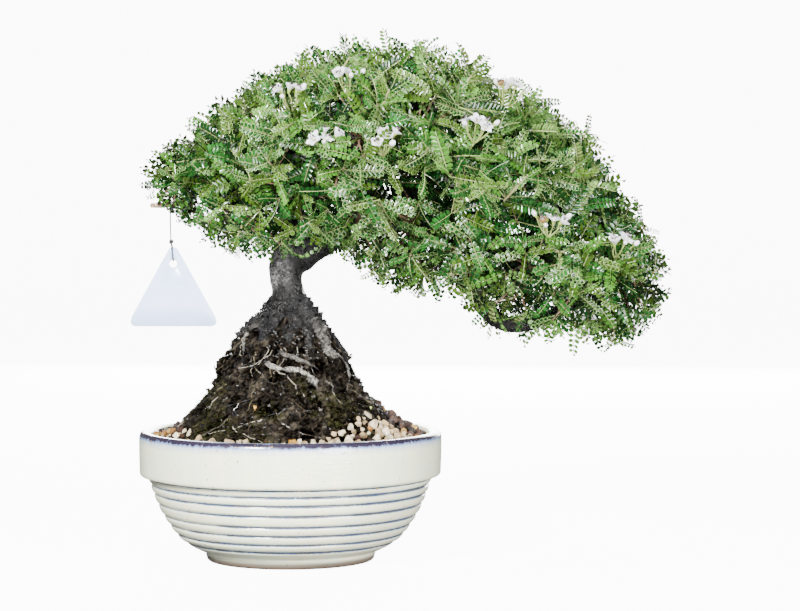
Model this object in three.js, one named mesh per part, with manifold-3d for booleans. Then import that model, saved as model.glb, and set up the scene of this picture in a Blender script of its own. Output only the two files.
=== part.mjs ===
// An osteomeles bonsai in a glazed bowl: a leaning trunk on exposed roots under a windswept crown.
// Millimetres, +Z up, +Y away from the viewer. The origin is the centre of the bowl's underside.
import * as THREE from "three";
import { mergeVertices } from "three/addons/utils/BufferGeometryUtils.js";
import Module from "manifold-3d";

const wasm = await Module();
wasm.setup();

// Clearances between neighbouring pieces
const SEAT_GAP = 0.4;
const LEAF_GAP = 0.45;

// Pot: heights and radii, its body given as height and radius from the foot to the band
const POT_SIDES = 24;
const RIM_HEIGHT = 94.5;
const BAND_RADIUS = 110;
const BAND_FOOT = 61.5;
const RING_HEIGHTS = [55.9, 49.5, 42, 33.8, 26.9, 20.1, 14.1];
const RING_RISE = 2.4;
const RING_DEPTH = 1.3;
const FOOT_RADIUS = 61;
const FOOT_HEIGHT = 7.5;
const FLOOR_HEIGHT = 12;
const POT_BODY = [
  [FOOT_HEIGHT, 65.5],
  [12.5, 75],
  [18.5, 82],
  [27, 88.3],
  [36, 93.8],
  [44.5, 97.7],
  [53.5, 100.9],
  [BAND_FOOT, 103.4],
];
const BODY_SAMPLES = 80;
const DRAIN_HOLES = 3;
const DRAIN_RADIUS = 6;
const DRAIN_RING = 32;
const DRAIN_CHANNEL = { width: 8, depth: 2.2, pastFoot: 10 };
const POT_INSIDE = [
  [101.4, 92.5],
  [99.5, 66],
  [87, 38],
  [66, 18],
  [0, FLOOR_HEIGHT],
];

// Root ball and its mound: half-width left, half-width right and half-depth at each height
const SOIL_LEVEL = 88;
const MOUND = [
  { z: 88, left: 86, right: 83, depth: 87 },
  { z: 110, left: 68, right: 66, depth: 69 },
  { z: 124, left: 56.5, right: 51, depth: 58 },
  { z: 140, left: 53, right: 44, depth: 51 },
  { z: 154, left: 42.5, right: 38, depth: 42 },
  { z: 167, left: 34, right: 26, depth: 31 },
];
const MOUND_LUMPS = 0.035;

// Gravel: each bed lies in part of the ring between mound and pot, heaped against the mound.
// Angles are in degrees from +X.
const GRAVEL_THICKNESS = 2.6;
const GRAVEL_OUTER = 99.2;
const GRAVEL_INNER = 66;
const BED_STEP = 15;
const HEAP_SPREAD = 34;
const PALE_BED = { from: 172, to: 342, grains: 11, heap: 3, heapAt: 200, seed: 3 };
const DARK_BED = { from: -14, to: 168, grains: 7, heap: 20, heapAt: 12, seed: 8 };
const GRAIN = { least: 4, most: 6, sunk: 0.25, unevenness: 0.17 };
const GRAIN_ROWS = [0.1, 0.9];

// Limbs: the ridges along old wood, and how far a limb's end stands out, as a share of its radius
const RIDGES = { count: 3, height: 0.07, twist: 0.8 };
const LIMB_END = 0.4;

// Trunk and limbs: x, y, z and radius at each station
const TRUNK = [
  [-3, 0, 140, 34],
  [-3.5, 0, 158, 30],
  [-3, 0, 173, 21.5],
  [-0.5, 0, 188, 14.5],
  [-1, 0, 197, 11.5],
  [-3, 0, 207, 12.2],
  [-1.5, 0, 217, 14],
  [7, 0, 226, 15],
  [20, 0, 233, 13.5],
  [34, 0, 239, 11],
  [50, 2, 245, 9.5],
  [70, 4, 252, 9],
  [92, 6, 250, 8.5],
  [112, 4, 232, 8],
  [128, 0, 205, 7],
  [141, -4, 184, 6.5],
  [156, -6, 173, 6],
  [175, -4, 172, 5],
  [200, 0, 183, 4],
  [222, 2, 192, 3],
];
const LEFT_BRANCH = [
  [7, 0, 228, 8],
  [-5, 3, 258, 6.5],
  [-34, 3, 280, 5],
  [-52, 2, 281, 4],
];
const RIGHT_BRANCH = [
  [36, 1, 240, 8],
  [50, 1, 272, 7],
  [90, 2, 290, 6],
  [130, 2, 278, 5],
  [172, 0, 252, 4],
  [206, 0, 228, 3],
];
const STUB = [
  [-44, 2, 281, 3.4],
  [-62, 0, 271, 2.8],
  [-78, -3, 261, 2.4],
  [-88, -4.4, 258.6, 2.2],
  [-101, -5, 258, 2],
];
const TWIG = { root: 2, tip: 1.6, sunk: 0.6, limbGap: 0.5, twigGap: 0.8 };
const FORK_STEPS = 40;

// Roots over the mound: x, height and radius at each station, on the front or the back of it
const ROOT_START = 0.5;
const FRONT_ROOTS = [
  [[12, 178, 7], [20, 166, 6.5], [31, 149, 5], [40, 139, 3.6], [42, 116, 1.8]],
  [[-20, 174, 4.5], [-31, 158, 3.6], [-40, 136, 2.4], [-48, 112, 1.5]],
  [[-20, 147, 3], [-3, 139, 3.6], [15, 136, 3], [31, 114, 1.6]],
  [[-16, 168, 5], [-8, 154, 4.6], [8, 146, 4], [29, 138, 2.2]],
];
const BACK_ROOTS = [
  [[-10, 176, 6.5], [-19, 158, 4.5], [-24, 128, 2.8], [-31, 104, 1.8]],
  [[8, 176, 6.5], [18, 154, 4.8], [29, 128, 2.8], [43, 102, 1.8]],
  [[-1, 168, 4.5], [2, 142, 3], [6, 104, 1.8]],
];

// Crown outline: bottom, top and half-depth at each place along it
const CROWN = [
  { x: -103, bottom: 262, top: 290, depth: 14 },
  { x: -80, bottom: 249, top: 313, depth: 44 },
  { x: -46, bottom: 226, top: 342, depth: 75 },
  { x: -10, bottom: 222, top: 356, depth: 92 },
  { x: 35, bottom: 222, top: 377, depth: 100 },
  { x: 82, bottom: 200, top: 379, depth: 102 },
  { x: 130, bottom: 187, top: 371, depth: 100 },
  { x: 175, bottom: 161, top: 343, depth: 92 },
  { x: 216, bottom: 160, top: 317, depth: 78 },
  { x: 250, bottom: 158, top: 257, depth: 52 },
  { x: 277, bottom: 186, top: 228, depth: 14 },
];
const CROWN_REACH = { left: -105, right: 278, edge: 6 };
const SPRAY_RINGS = [
  { x: -70, sprays: 2 },
  { x: -35, sprays: 4 },
  { x: 7, sprays: 5 },
  { x: 49, sprays: 5 },
  { x: 90, sprays: 5 },
  { x: 129, sprays: 5 },
  { x: 168, sprays: 5 },
  { x: 206, sprays: 4 },
  { x: 241, sprays: 2 },
];
const SPRAY_INSET = 38;
const SPRAY_SPREAD = { wide: 20.5, tall: 6, turn: 0.12, angle: 0.14, shift: 10, seed: 11 };
const SETTLING_ROUNDS = 12;

// Spray: a small core that its leaves stand out of. Clearances are from its centre.
const CORE = { radius: 15.5, unevenness: 0.1, seed: 5 };
const CORE_CLEARANCE = { core: 38.75, limb: 20.1, twig: 19.4 };
const LEAVES_PER_SPRAY = 3;
const LEAF_TRIES = 26;
const LEAF_SEED = 41;
const LEAF_TURN = 2.1;
const LEAF_TILT = { least: 18, most: 76 };
const LEAF_SPIN = { least: -1, most: 1 };
const LEAF_SIZE = { least: 44.7, most: 57.2 };
const LEAF_BEND = { least: 0.25, most: 0.8 };
const LEAF_ROOT = 3.9;
const LEAF_REACH = 1.05;
const LEAF_CROWDING = { distance: 42, weight: 0.16 };

// Leaf: a pinnate blade, its leaflets cut to the rib. A leaflet's near and far corners lie at
// shares of the space between two pairs.
const LEAF = { length: 52, petiole: 13, pairs: 4, tip: 6.5, rib: 1, thickness: 1.9, fold: 0.22 };
const LEAFLET = { length: 10.4, near: 0.24, far: 0.96, farLength: 0.94, first: 0.2, last: 0.8, end: 0.42 };

// Flower clusters: x, height and side of the crown, -1 for the front and 1 for the back
const BLOSSOMS = [
  [3, 336, -1],
  [41, 351, -1],
  [26, 303, -1],
  [66, 308, -1],
  [132, 318, -1],
  [160, 340, -1],
  [182, 248, -1],
  [236, 230, -1],
  [58, 364, 1],
  [112, 322, 1],
  [190, 270, 1],
];
const BLOSSOM = { apart: 8.4, lean: 0.4, turn: 2.4, depth: 0.95, seed: 17 };
const FLOWER = { radius: 8, petals: 5, petalHalf: 20, notch: 2.4, notchUp: 0.5, rimUp: 2.6, eyeUp: 1.9 };
const STALK = { radius: 0.9, neck: 1, sunk: 0.2, fork: 0.5 };

// Tag and its cord
const TAG = { width: 63, height: 57.5, corner: 4, thickness: 1, x: -84.5, y: -8.4, top: 228 };
const TAG_HOLE = { radius: 2.9, z: 216 };
const CORD_RADIUS = 0.5;
const CORD_SIDES = 8;
const CORD_ROUTE = [
  [-86.2, -1, 257.8],
  [-86.3, -1.6, 260.9],
  [-86.4, -4.2, 262.3],
  [-86.5, -6.9, 260.9],
  [-86.5, -7.8, 257],
  [-86.5, -8.2, 250],
  [-86.4, -8.4, 243],
  [-86.2, -8.5, 236],
  [-85.8, -9.2, 231],
  [-85.3, -9.8, 226],
  [-84.8, -9.9, 221],
  [-84.6, -9.3, 218.6],
  [-84.5, -7.9, 217.9],
  [-84.4, -6.5, 218.6],
  [-84.5, -5.9, 221],
  [-85, -6, 226],
  [-85.5, -6.7, 229.4],
  [-85.9, -7.8, 231.6],
];
const CORD_KNOT = { x: -85.9, y: -8.4, z: 232, radius: 1.9 };

const UP = new THREE.Vector3(0, 0, 1);

// Random draws, curves and ranges

function seeded(seed) {
  let state = seed;
  return () => {
    state = (state + 0x6d2b79f5) | 0;
    let mixed = Math.imul(state ^ (state >>> 15), 1 | state);
    mixed = (mixed + Math.imul(mixed ^ (mixed >>> 7), 61 | mixed)) ^ mixed;
    return ((mixed ^ (mixed >>> 14)) >>> 0) / 4294967296;
  };
}

function drawn({ least, most }, random) {
  return THREE.MathUtils.lerp(least, most, random());
}

function curveThrough(stations) {
  const route = stations.map(([x, y, z]) => new THREE.Vector3(x, y, z));
  return new THREE.CatmullRomCurve3(route, false, "centripetal");
}

// The radius at a share of the way from the first station of a limb to its last.
function radiusAt(stations, share) {
  const position = share * (stations.length - 1);
  const before = Math.min(Math.floor(position), stations.length - 2);
  return THREE.MathUtils.lerp(stations[before][3], stations[before + 1][3], position - before);
}

// Solids and meshes

function solidOf(geometry) {
  const bare = geometry.clone();
  bare.deleteAttribute("normal");
  bare.deleteAttribute("uv");
  const merged = mergeVertices(bare, 1e-4);
  return new wasm.Manifold(
    new wasm.Mesh({
      numProp: 3,
      vertProperties: new Float32Array(merged.attributes.position.array),
      triVerts: new Uint32Array(merged.index.array),
    }),
  );
}

function solidFrom(points, faces) {
  const flat = points.flatMap((p) => [p.x, p.y, p.z]);
  return new wasm.Manifold(
    new wasm.Mesh({
      numProp: 3,
      vertProperties: new Float32Array(flat),
      triVerts: new Uint32Array(faces.flat()),
    }),
  );
}

function geometryOf(solid) {
  const mesh = solid.getMesh();
  const geometry = new THREE.BufferGeometry();
  geometry.setAttribute("position", new THREE.BufferAttribute(mesh.vertProperties, 3));
  geometry.setIndex(new THREE.BufferAttribute(mesh.triVerts, 1));
  geometry.computeVertexNormals();
  return geometry;
}

function joined(solids) {
  return solids.reduce((whole, piece) => whole.add(piece));
}

function place(group, name, solid, look) {
  const material = new THREE.MeshStandardMaterial({ metalness: 0, ...look });
  const mesh = new THREE.Mesh(geometryOf(solid), material);
  mesh.name = name;
  group.add(mesh);
}

// Rings of points, all of one length, skinned into a closed body with a point at each end.
function skinned(start, rings, end) {
  const around = rings[0].length;
  const points = [start, ...rings.flat(), end];
  const last = points.length - 1;
  const faces = [];
  const at = (ring, side) => 1 + ring * around + (side % around);
  for (let side = 0; side < around; side += 1) {
    faces.push([0, at(0, side + 1), at(0, side)]);
    for (let ring = 0; ring + 1 < rings.length; ring += 1) {
      faces.push([at(ring, side), at(ring, side + 1), at(ring + 1, side + 1)]);
      faces.push([at(ring, side), at(ring + 1, side + 1), at(ring + 1, side)]);
    }
    faces.push([last, at(rings.length - 1, side), at(rings.length - 1, side + 1)]);
  }
  return solidFrom(points, faces);
}

// A limb of changing radius along a smooth curve through its stations, swollen by grow.
function limb(stations, { sides, steps, grow = 0, ridges = 0 }) {
  const curve = curveThrough(stations);
  const { tangents, normals, binormals } = curve.computeFrenetFrames(steps, false);
  const rings = [];
  const radii = [];
  for (let step = 0; step <= steps; step += 1) {
    const along = step / steps;
    const centre = curve.getPointAt(along);
    const radius = radiusAt(stations, curve.getUtoTmapping(along));
    const ring = [];
    for (let side = 0; side < sides; side += 1) {
      const angle = (2 * Math.PI * side) / sides;
      const ridge = 1 + ridges * Math.sin(RIDGES.count * angle + RIDGES.twist * step);
      const reach = radius * ridge + grow;
      const out = normals[step].clone().multiplyScalar(reach * Math.cos(angle));
      out.addScaledVector(binormals[step], reach * Math.sin(angle));
      ring.push(out.add(centre));
    }
    rings.push(ring);
    radii.push(radius);
  }
  const first = curve.getPointAt(0).addScaledVector(tangents[0], -LIMB_END * radii[0] - grow);
  const final = curve.getPointAt(1).addScaledVector(tangents[steps], LIMB_END * radii[steps] + grow);
  return skinned(first, rings, final);
}

// Pot

function bodyRadius(z) {
  const curve = new THREE.SplineCurve(POT_BODY.map((point) => new THREE.Vector2(...point)));
  const samples = curve.getPoints(BODY_SAMPLES);
  const above = samples.findIndex((sample) => sample.x >= z);
  if (above <= 0) {
    return samples[0].y;
  }
  const [low, high] = [samples[above - 1], samples[above]];
  return THREE.MathUtils.mapLinear(z, low.x, high.x, low.y, high.y);
}

function potProfile() {
  const outline = [
    [0, 0],
    [FOOT_RADIUS - 1, 0],
    [FOOT_RADIUS, 1.2],
    [FOOT_RADIUS + 0.8, FOOT_HEIGHT - 0.8],
    [bodyRadius(FOOT_HEIGHT) - 0.8, FOOT_HEIGHT + 0.6],
  ];
  for (const z of [...RING_HEIGHTS].reverse()) {
    outline.push([bodyRadius(z) - RING_DEPTH, z], [bodyRadius(z + RING_RISE), z + RING_RISE]);
  }
  outline.push(
    [bodyRadius(BAND_FOOT) - 0.6, BAND_FOOT - 1],
    [BAND_RADIUS - 1.6, BAND_FOOT],
    [BAND_RADIUS, BAND_FOOT + 1.8],
    [BAND_RADIUS, RIM_HEIGHT - 3.2],
    [BAND_RADIUS - 1.2, RIM_HEIGHT - 0.7],
    [BAND_RADIUS - 3.4, RIM_HEIGHT],
    [103, RIM_HEIGHT - 0.3],
    ...POT_INSIDE,
  );
  return outline.map(([radius, z]) => new THREE.Vector2(radius, z));
}

function turned(profile) {
  const geometry = new THREE.LatheGeometry(profile, POT_SIDES);
  geometry.rotateX(Math.PI / 2);
  return solidOf(geometry);
}

function pot() {
  let body = turned(potProfile());
  for (let hole = 0; hole < DRAIN_HOLES; hole += 1) {
    const angle = -Math.PI / 2 + (2 * Math.PI * hole) / DRAIN_HOLES;
    const drill = new THREE.CylinderGeometry(DRAIN_RADIUS, DRAIN_RADIUS, 3 * FLOOR_HEIGHT, 8);
    drill.rotateX(Math.PI / 2);
    drill.translate(DRAIN_RING, 0, 0);
    const length = FOOT_RADIUS - DRAIN_RING + DRAIN_CHANNEL.pastFoot;
    const channel = new THREE.BoxGeometry(length, DRAIN_CHANNEL.width, 2 * DRAIN_CHANNEL.depth);
    channel.translate(DRAIN_RING + length / 2, 0, 0);
    body = body.subtract(solidOf(drill.rotateZ(angle))).subtract(solidOf(channel.rotateZ(angle)));
  }
  return body;
}

// Soil

// The mound's half-sizes at a height, between its stations.
function moundAt(z) {
  const above = Math.max(1, MOUND.findIndex((level) => level.z >= z));
  const top = MOUND.length - 1;
  const index = z > MOUND[top].z ? top : above;
  const [low, high] = [MOUND[index - 1], MOUND[index]];
  const share = (z - low.z) / (high.z - low.z);
  const between = (key) => THREE.MathUtils.lerp(low[key], high[key], share);
  const [left, right] = [between("left"), between("right")];
  return { middle: (right - left) / 2, half: (right + left) / 2, depth: between("depth") };
}

function lumps(angle, z) {
  const wave = Math.sin(3 * angle + z / 9) + Math.sin(5 * angle - z / 7 + 1) + Math.sin(7 * angle + z / 5);
  return 1 + (MOUND_LUMPS * wave) / 3;
}

function moundPoint(angle, z) {
  const { middle, half, depth } = moundAt(z);
  const swell = lumps(angle, z);
  return new THREE.Vector3(middle + half * swell * Math.cos(angle), depth * swell * Math.sin(angle), z);
}

// The solid that fills the pot and rises as the mound, swollen by grow on its upper side.
function rootBall(grow) {
  const angleOf = (_, side) => (2 * Math.PI * side) / POT_SIDES - Math.PI / 2;
  const angles = Array.from({ length: POT_SIDES }, angleOf);
  const circle = (radius, z) => {
    const clear = radius - 1.5 * SEAT_GAP;
    return angles.map((angle) => new THREE.Vector3(clear * Math.cos(angle), clear * Math.sin(angle), z));
  };
  const [rim, ...walls] = POT_INSIDE;
  const rings = walls.slice(0, -1).reverse().map(([radius, z]) => circle(radius, z + SEAT_GAP));
  const [wallRadius, wallHeight] = walls[0];
  const share = (SOIL_LEVEL - wallHeight) / (rim[1] - wallHeight);
  rings.push(circle(THREE.MathUtils.lerp(wallRadius, rim[0], share), SOIL_LEVEL + grow));
  for (const { z } of MOUND) {
    rings.push(angles.map((angle) => {
      const point = moundPoint(angle, z);
      const swell = 1 + (1.6 * grow) / Math.hypot(point.x, point.y);
      return new THREE.Vector3(point.x * swell, point.y * swell, z + grow);
    }));
  }
  const bottom = new THREE.Vector3(0, 0, FLOOR_HEIGHT + SEAT_GAP);
  const top = new THREE.Vector3(-4, 0, MOUND[MOUND.length - 1].z + 1 + grow);
  return skinned(bottom, rings, top);
}

// Gravel

// A bed of grains round part of the mound. Its underside is cut to the soil when it is laid.
function gravelBed({ from, to, grains, heap, heapAt, seed }) {
  const random = seeded(seed);
  const heapHeight = (degrees) => {
    const away = (degrees - heapAt) / HEAP_SPREAD;
    return GRAVEL_THICKNESS + heap * Math.exp(-away * away);
  };
  const base = SOIL_LEVEL + GRAVEL_THICKNESS;
  const topAt = (degrees, radius) => {
    const share = (GRAVEL_OUTER - radius) / (GRAVEL_OUTER - GRAVEL_INNER);
    return base + share * heapHeight(degrees);
  };
  const at = (degrees, radius, z) => {
    const angle = THREE.MathUtils.degToRad(degrees);
    return new THREE.Vector3(radius * Math.cos(angle), radius * Math.sin(angle), z);
  };
  const steps = Math.round((to - from) / BED_STEP);
  const sections = Array.from({ length: steps + 1 }, (_, step) => {
    const degrees = THREE.MathUtils.lerp(from, to, step / steps);
    return [
      at(degrees, GRAVEL_INNER, topAt(degrees, GRAVEL_INNER)),
      at(degrees, GRAVEL_OUTER, topAt(degrees, GRAVEL_OUTER)),
      at(degrees, GRAVEL_OUTER, SOIL_LEVEL - GRAVEL_THICKNESS),
      at(degrees, GRAVEL_INNER, SOIL_LEVEL - GRAVEL_THICKNESS),
    ];
  });
  const middle = (section) => section.reduce((sum, p) => sum.add(p), new THREE.Vector3()).divideScalar(4);
  let bed = skinned(middle(sections[0]), sections, middle(sections[steps]));
  for (let grain = 0; grain < grains; grain += 1) {
    const degrees = from + ((to - from) * (grain + 0.5)) / grains;
    const size = drawn(GRAIN, random);
    const toe = moundPoint(THREE.MathUtils.degToRad(degrees), SOIL_LEVEL + heapHeight(degrees) / 2);
    const row = GRAIN_ROWS[grain % GRAIN_ROWS.length];
    const radius = THREE.MathUtils.lerp(Math.hypot(toe.x, toe.y) + size, GRAVEL_OUTER - size, row);
    const stone = pebble(size, GRAIN.unevenness, random);
    stone.translate(...at(degrees, radius, topAt(degrees, radius) + GRAIN.sunk * size).toArray());
    bed = bed.add(solidOf(stone));
  }
  return bed;
}

// A rounded lump with uneven sides.
function pebble(size, unevenness, random) {
  const stone = mergeVertices(bareGeometry(new THREE.IcosahedronGeometry(size, 0)), 1e-4);
  const position = stone.attributes.position;
  const factor = () => 1 + unevenness * (2 * random() - 1);
  const squash = new THREE.Vector3(factor(), factor(), factor() - 0.5 * unevenness);
  for (let index = 0; index < position.count; index += 1) {
    const point = new THREE.Vector3().fromBufferAttribute(position, index).multiply(squash);
    point.multiplyScalar(1 + 0.5 * unevenness * (2 * random() - 1));
    position.setXYZ(index, point.x, point.y, point.z);
  }
  return stone.rotateZ(2 * Math.PI * random());
}

function bareGeometry(geometry) {
  geometry.deleteAttribute("normal");
  geometry.deleteAttribute("uv");
  return geometry;
}

// Trunk

// A root's stations, laid half sunk in the mound's surface, from a start inside the trunk's flare.
function rootStations(route, side) {
  return route.map(([x, z, radius], index) => {
    const { middle, half, depth } = moundAt(z);
    const across = THREE.MathUtils.clamp((x - middle) / half, -0.98, 0.98);
    const y = side * depth * Math.sqrt(1 - across * across);
    const angle = Math.atan2(y / depth, across);
    const swell = index ? lumps(angle, z) : ROOT_START;
    return [middle + (x - middle) * swell, y * swell, z, radius];
  });
}

function woodyPieces(grow) {
  const pieces = [limb(TRUNK, { sides: 8, steps: 22, grow, ridges: RIDGES.height })];
  for (const [routes, side] of [[FRONT_ROOTS, -1], [BACK_ROOTS, 1]]) {
    for (const route of routes) {
      pieces.push(limb(rootStations(route, side), { sides: 4, steps: route.length, grow }));
    }
  }
  return pieces;
}

// Crown

function crownAt(x) {
  const above = THREE.MathUtils.clamp(CROWN.findIndex((station) => station.x >= x), 1, CROWN.length - 1);
  const [left, right] = [CROWN[above - 1], CROWN[above]];
  const share = (x - left.x) / (right.x - left.x);
  const between = (key) => THREE.MathUtils.lerp(left[key], right[key], share);
  const [bottom, top] = [between("bottom"), between("top")];
  return { middle: (top + bottom) / 2, half: (top - bottom) / 2, depth: between("depth") };
}

// How far out a point lies in the crown: 1 on its outline, less inside.
function crownShare(point) {
  if (point.x < CROWN_REACH.left || point.x > CROWN_REACH.right) {
    return Infinity;
  }
  const { middle, half, depth } = crownAt(point.x);
  return Math.hypot(point.y / depth, (point.z - middle) / half);
}

// Outward direction of the crown's surface near a point inside it.
function crownOutward(point) {
  const probe = 6;
  const { left, right, edge } = CROWN_REACH;
  const share = (dx, dy, dz) => {
    const { middle, half, depth } = crownAt(THREE.MathUtils.clamp(point.x + dx, left + edge, right - edge));
    return Math.hypot((point.y + dy) / depth, (point.z + dz - middle) / half);
  };
  const slope = new THREE.Vector3(
    share(probe, 0, 0) - share(-probe, 0, 0),
    share(0, probe, 0) - share(0, -probe, 0),
    share(0, 0, probe) - share(0, 0, -probe),
  );
  return slope.normalize();
}

// Points along the limbs inside the crown, each with the limb's radius there.
const forks = [TRUNK.slice(7), LEFT_BRANCH, RIGHT_BRANCH, STUB].flatMap((stations) => {
  const points = curveThrough(stations).getPoints(FORK_STEPS);
  return points.map((point, index) => {
    return { point, radius: radiusAt(stations, index / FORK_STEPS), bears: stations !== STUB };
  });
});

// Rings of sprays inside the crown's outline, straddling its lowest line and bent clear of the limbs.
function sprayCentres() {
  const { turn, seed } = SPRAY_SPREAD;
  const random = seeded(seed);
  const centres = [];
  SPRAY_RINGS.forEach(({ x, sprays }, ring) => {
    const phase = Math.PI / 2 + (sprays % 2 ? 0 : Math.PI / sprays) + (ring % 2 ? turn : -turn);
    const { middle, half, depth } = crownAt(x);
    const wide = Math.max(depth - SPRAY_INSET, SPRAY_SPREAD.wide);
    const tall = Math.max(half - SPRAY_INSET, SPRAY_SPREAD.tall);
    for (let spray = 0; spray < sprays; spray += 1) {
      const angle = phase + (2 * Math.PI * spray) / sprays + SPRAY_SPREAD.angle * (random() - 0.5);
      const shift = SPRAY_SPREAD.shift * (random() - 0.5);
      centres.push(new THREE.Vector3(x + shift, wide * Math.cos(angle), middle + tall * Math.sin(angle)));
    }
  });
  for (let round = 0; round < SETTLING_ROUNDS; round += 1) {
    centres.forEach((centre, index) => {
      forks.forEach(({ point, radius }) => pushed(centre, point, CORE_CLEARANCE.limb + radius));
      centres.slice(0, index).forEach((other) => pushed(centre, other, CORE_CLEARANCE.core));
    });
  }
  return centres;
}

// Moves a centre straight away from a point until it is at least this far from it.
function pushed(centre, point, distance) {
  const away = centre.clone().sub(point);
  const lack = distance - away.length();
  centre.addScaledVector(away.normalize(), Math.max(0, lack));
}

// A pinnate leaf: one thin arched wedge blade, thick at the rib, with its leaflets cut to the rib.
function leaf({ base, out, face, length, bend }) {
  const { petiole, pairs, rib, thickness, fold } = LEAF;
  const { near, far, farLength, first, last, end } = LEAFLET;
  const scale = length / LEAF.length;
  const longest = LEAFLET.length * scale;
  const tip = LEAF.tip * scale;
  const side = out.clone().cross(face).normalize();
  const at = (along, across, height) => {
    const turn = (bend * along) / length;
    const up = face.clone().multiplyScalar(Math.cos(turn)).addScaledVector(out, Math.sin(turn));
    const point = base.clone().addScaledVector(out, (Math.sin(turn) * length) / bend);
    point.addScaledVector(face, ((Math.cos(turn) - 1) * length) / bend);
    return point.addScaledVector(side, across).addScaledVector(up, height + fold * Math.abs(across));
  };
  const points = [];
  const faces = [];
  const add = (along, across, height = 0) => points.push(at(along, across, height)) - 1;
  const ridgeAt = (along) => [add(along, 0, thickness / 2), add(along, 0, -thickness / 2)];
  const notchAt = (along) => [add(along, rib), add(along, -rib)];
  const cover = (a, b, [top, bottom]) => faces.push([a, b, top], [b, a, bottom]);
  const pitch = (length - petiole - tip) / pairs;
  const root = add(0, 0);
  let notch = notchAt(petiole);
  let ridge = ridgeAt(petiole + pitch / 2);
  cover(root, notch[0], ridge);
  cover(notch[1], root, ridge);
  for (let pair = 0; pair < pairs; pair += 1) {
    const start = petiole + pair * pitch;
    const span = longest * Math.sin(Math.PI * THREE.MathUtils.lerp(first, last, (pair + 0.5) / pairs));
    const nextNotch = notchAt(start + pitch);
    const [nearCorner, farCorner] = [start + near * pitch, start + far * pitch];
    const right = [notch[0], add(nearCorner, span), add(farCorner, farLength * span), nextNotch[0]];
    const left = [notch[1], add(nearCorner, -span), add(farCorner, -farLength * span), nextNotch[1]];
    for (let edge = 0; edge < 3; edge += 1) {
      cover(right[edge], right[edge + 1], ridge);
      cover(left[edge + 1], left[edge], ridge);
    }
    const nextRidge = ridgeAt(pair + 1 < pairs ? start + 1.5 * pitch : length - 0.6 * tip);
    const [top, bottom] = ridge;
    const [nextTop, nextBottom] = nextRidge;
    faces.push([nextNotch[0], nextTop, top], [nextBottom, nextNotch[0], bottom]);
    faces.push([nextNotch[1], top, nextTop], [nextNotch[1], nextBottom, bottom]);
    notch = nextNotch;
    ridge = nextRidge;
  }
  const tips = [add(length, end * longest), add(length, -end * longest)];
  cover(notch[0], tips[0], ridge);
  cover(tips[0], tips[1], ridge);
  cover(tips[1], notch[1], ridge);
  return { solid: solidFrom(points, faces), tip: at(length, 0, 0) };
}

function boxed(solid) {
  return { solid, box: solid.boundingBox() };
}

function apart(solid, others, gap) {
  const box = solid.boundingBox();
  return others.every((other) => {
    const near = [0, 1, 2].every(
      (axis) => other.box.min[axis] - gap < box.max[axis] && box.min[axis] - gap < other.box.max[axis],
    );
    return !near || solid.minGap(other.solid, 2 * gap) >= gap;
  });
}

// One leaf of a spray: the candidate that ends nearest the crown's outline and furthest from other tips.
function bestLeaf(centre, outward, azimuth, random, neighbours, tips) {
  const across = new THREE.Vector3().crossVectors(outward, UP).normalize();
  let best = null;
  for (let attempt = 0; attempt < LEAF_TRIES; attempt += 1) {
    const tilt = THREE.MathUtils.degToRad(drawn(LEAF_TILT, random));
    const spin = azimuth + drawn(LEAF_SPIN, random);
    const sideways = across.clone().applyAxisAngle(outward, spin);
    const out = outward.clone().multiplyScalar(Math.cos(tilt)).addScaledVector(sideways, Math.sin(tilt));
    const face = outward.clone().multiplyScalar(Math.sin(tilt)).addScaledVector(sideways, -Math.cos(tilt));
    const base = centre.clone().addScaledVector(out, LEAF_ROOT);
    const length = drawn(LEAF_SIZE, random);
    const bend = drawn(LEAF_BEND, random);
    const blade = leaf({ base, out, face, length, bend });
    const reach = crownShare(blade.tip);
    const closeness = (tip) => Math.max(0, 1 - tip.distanceTo(blade.tip) / LEAF_CROWDING.distance);
    const crowding = tips.reduce((sum, tip) => sum + closeness(tip), 0);
    const score = Math.abs(reach - 1) + LEAF_CROWDING.weight * crowding;
    const better = reach < LEAF_REACH && (!best || score < best.score);
    if (better && apart(blade.solid, neighbours, LEAF_GAP)) {
      best = { ...blade, score };
    }
  }
  return best;
}

// Flowers

// Rounded petals as one cupped wheel, thick at its middle, with its stalk drawn out of its back.
function flower(centre, axis, foot) {
  const { radius, petals, petalHalf, notch, notchUp, rimUp, eyeUp } = FLOWER;
  const across = new THREE.Vector3().crossVectors(axis, UP).normalize();
  const along = new THREE.Vector3().crossVectors(axis, across);
  const points = [];
  const add = (degrees, reach, height, origin = centre) => {
    const angle = THREE.MathUtils.degToRad(degrees);
    const point = origin.clone().addScaledVector(across, reach * Math.cos(angle));
    point.addScaledVector(along, reach * Math.sin(angle)).addScaledVector(axis, height);
    return points.push(point) - 1;
  };
  const eye = add(0, 0, eyeUp);
  const rim = [];
  const pitch = 360 / petals;
  for (let petal = 0; petal < petals; petal += 1) {
    const middle = pitch * petal;
    rim.push(add(middle - pitch / 2, notch, notchUp));
    rim.push(add(middle - petalHalf, radius, rimUp), add(middle + petalHalf, radius, rimUp));
  }
  const neck = [0, 120, 240].map((degrees) => add(degrees, STALK.radius, -STALK.neck));
  const heel = [0, 120, 240].map((degrees) => add(degrees, STALK.radius, 0, foot));
  const faces = [[heel[0], heel[2], heel[1]]];
  rim.forEach((corner, index) => {
    const next = rim[(index + 1) % rim.length];
    const third = Math.floor(index / petals);
    faces.push([eye, corner, next], [neck[third], next, corner]);
    if (index % petals === petals - 1) {
      faces.push([neck[third], neck[(third + 1) % 3], next]);
    }
  });
  for (let side = 0; side < 3; side += 1) {
    const next = (side + 1) % 3;
    faces.push([heel[side], heel[next], neck[next]], [heel[side], neck[next], neck[side]]);
  }
  return solidFrom(points, faces);
}

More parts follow.
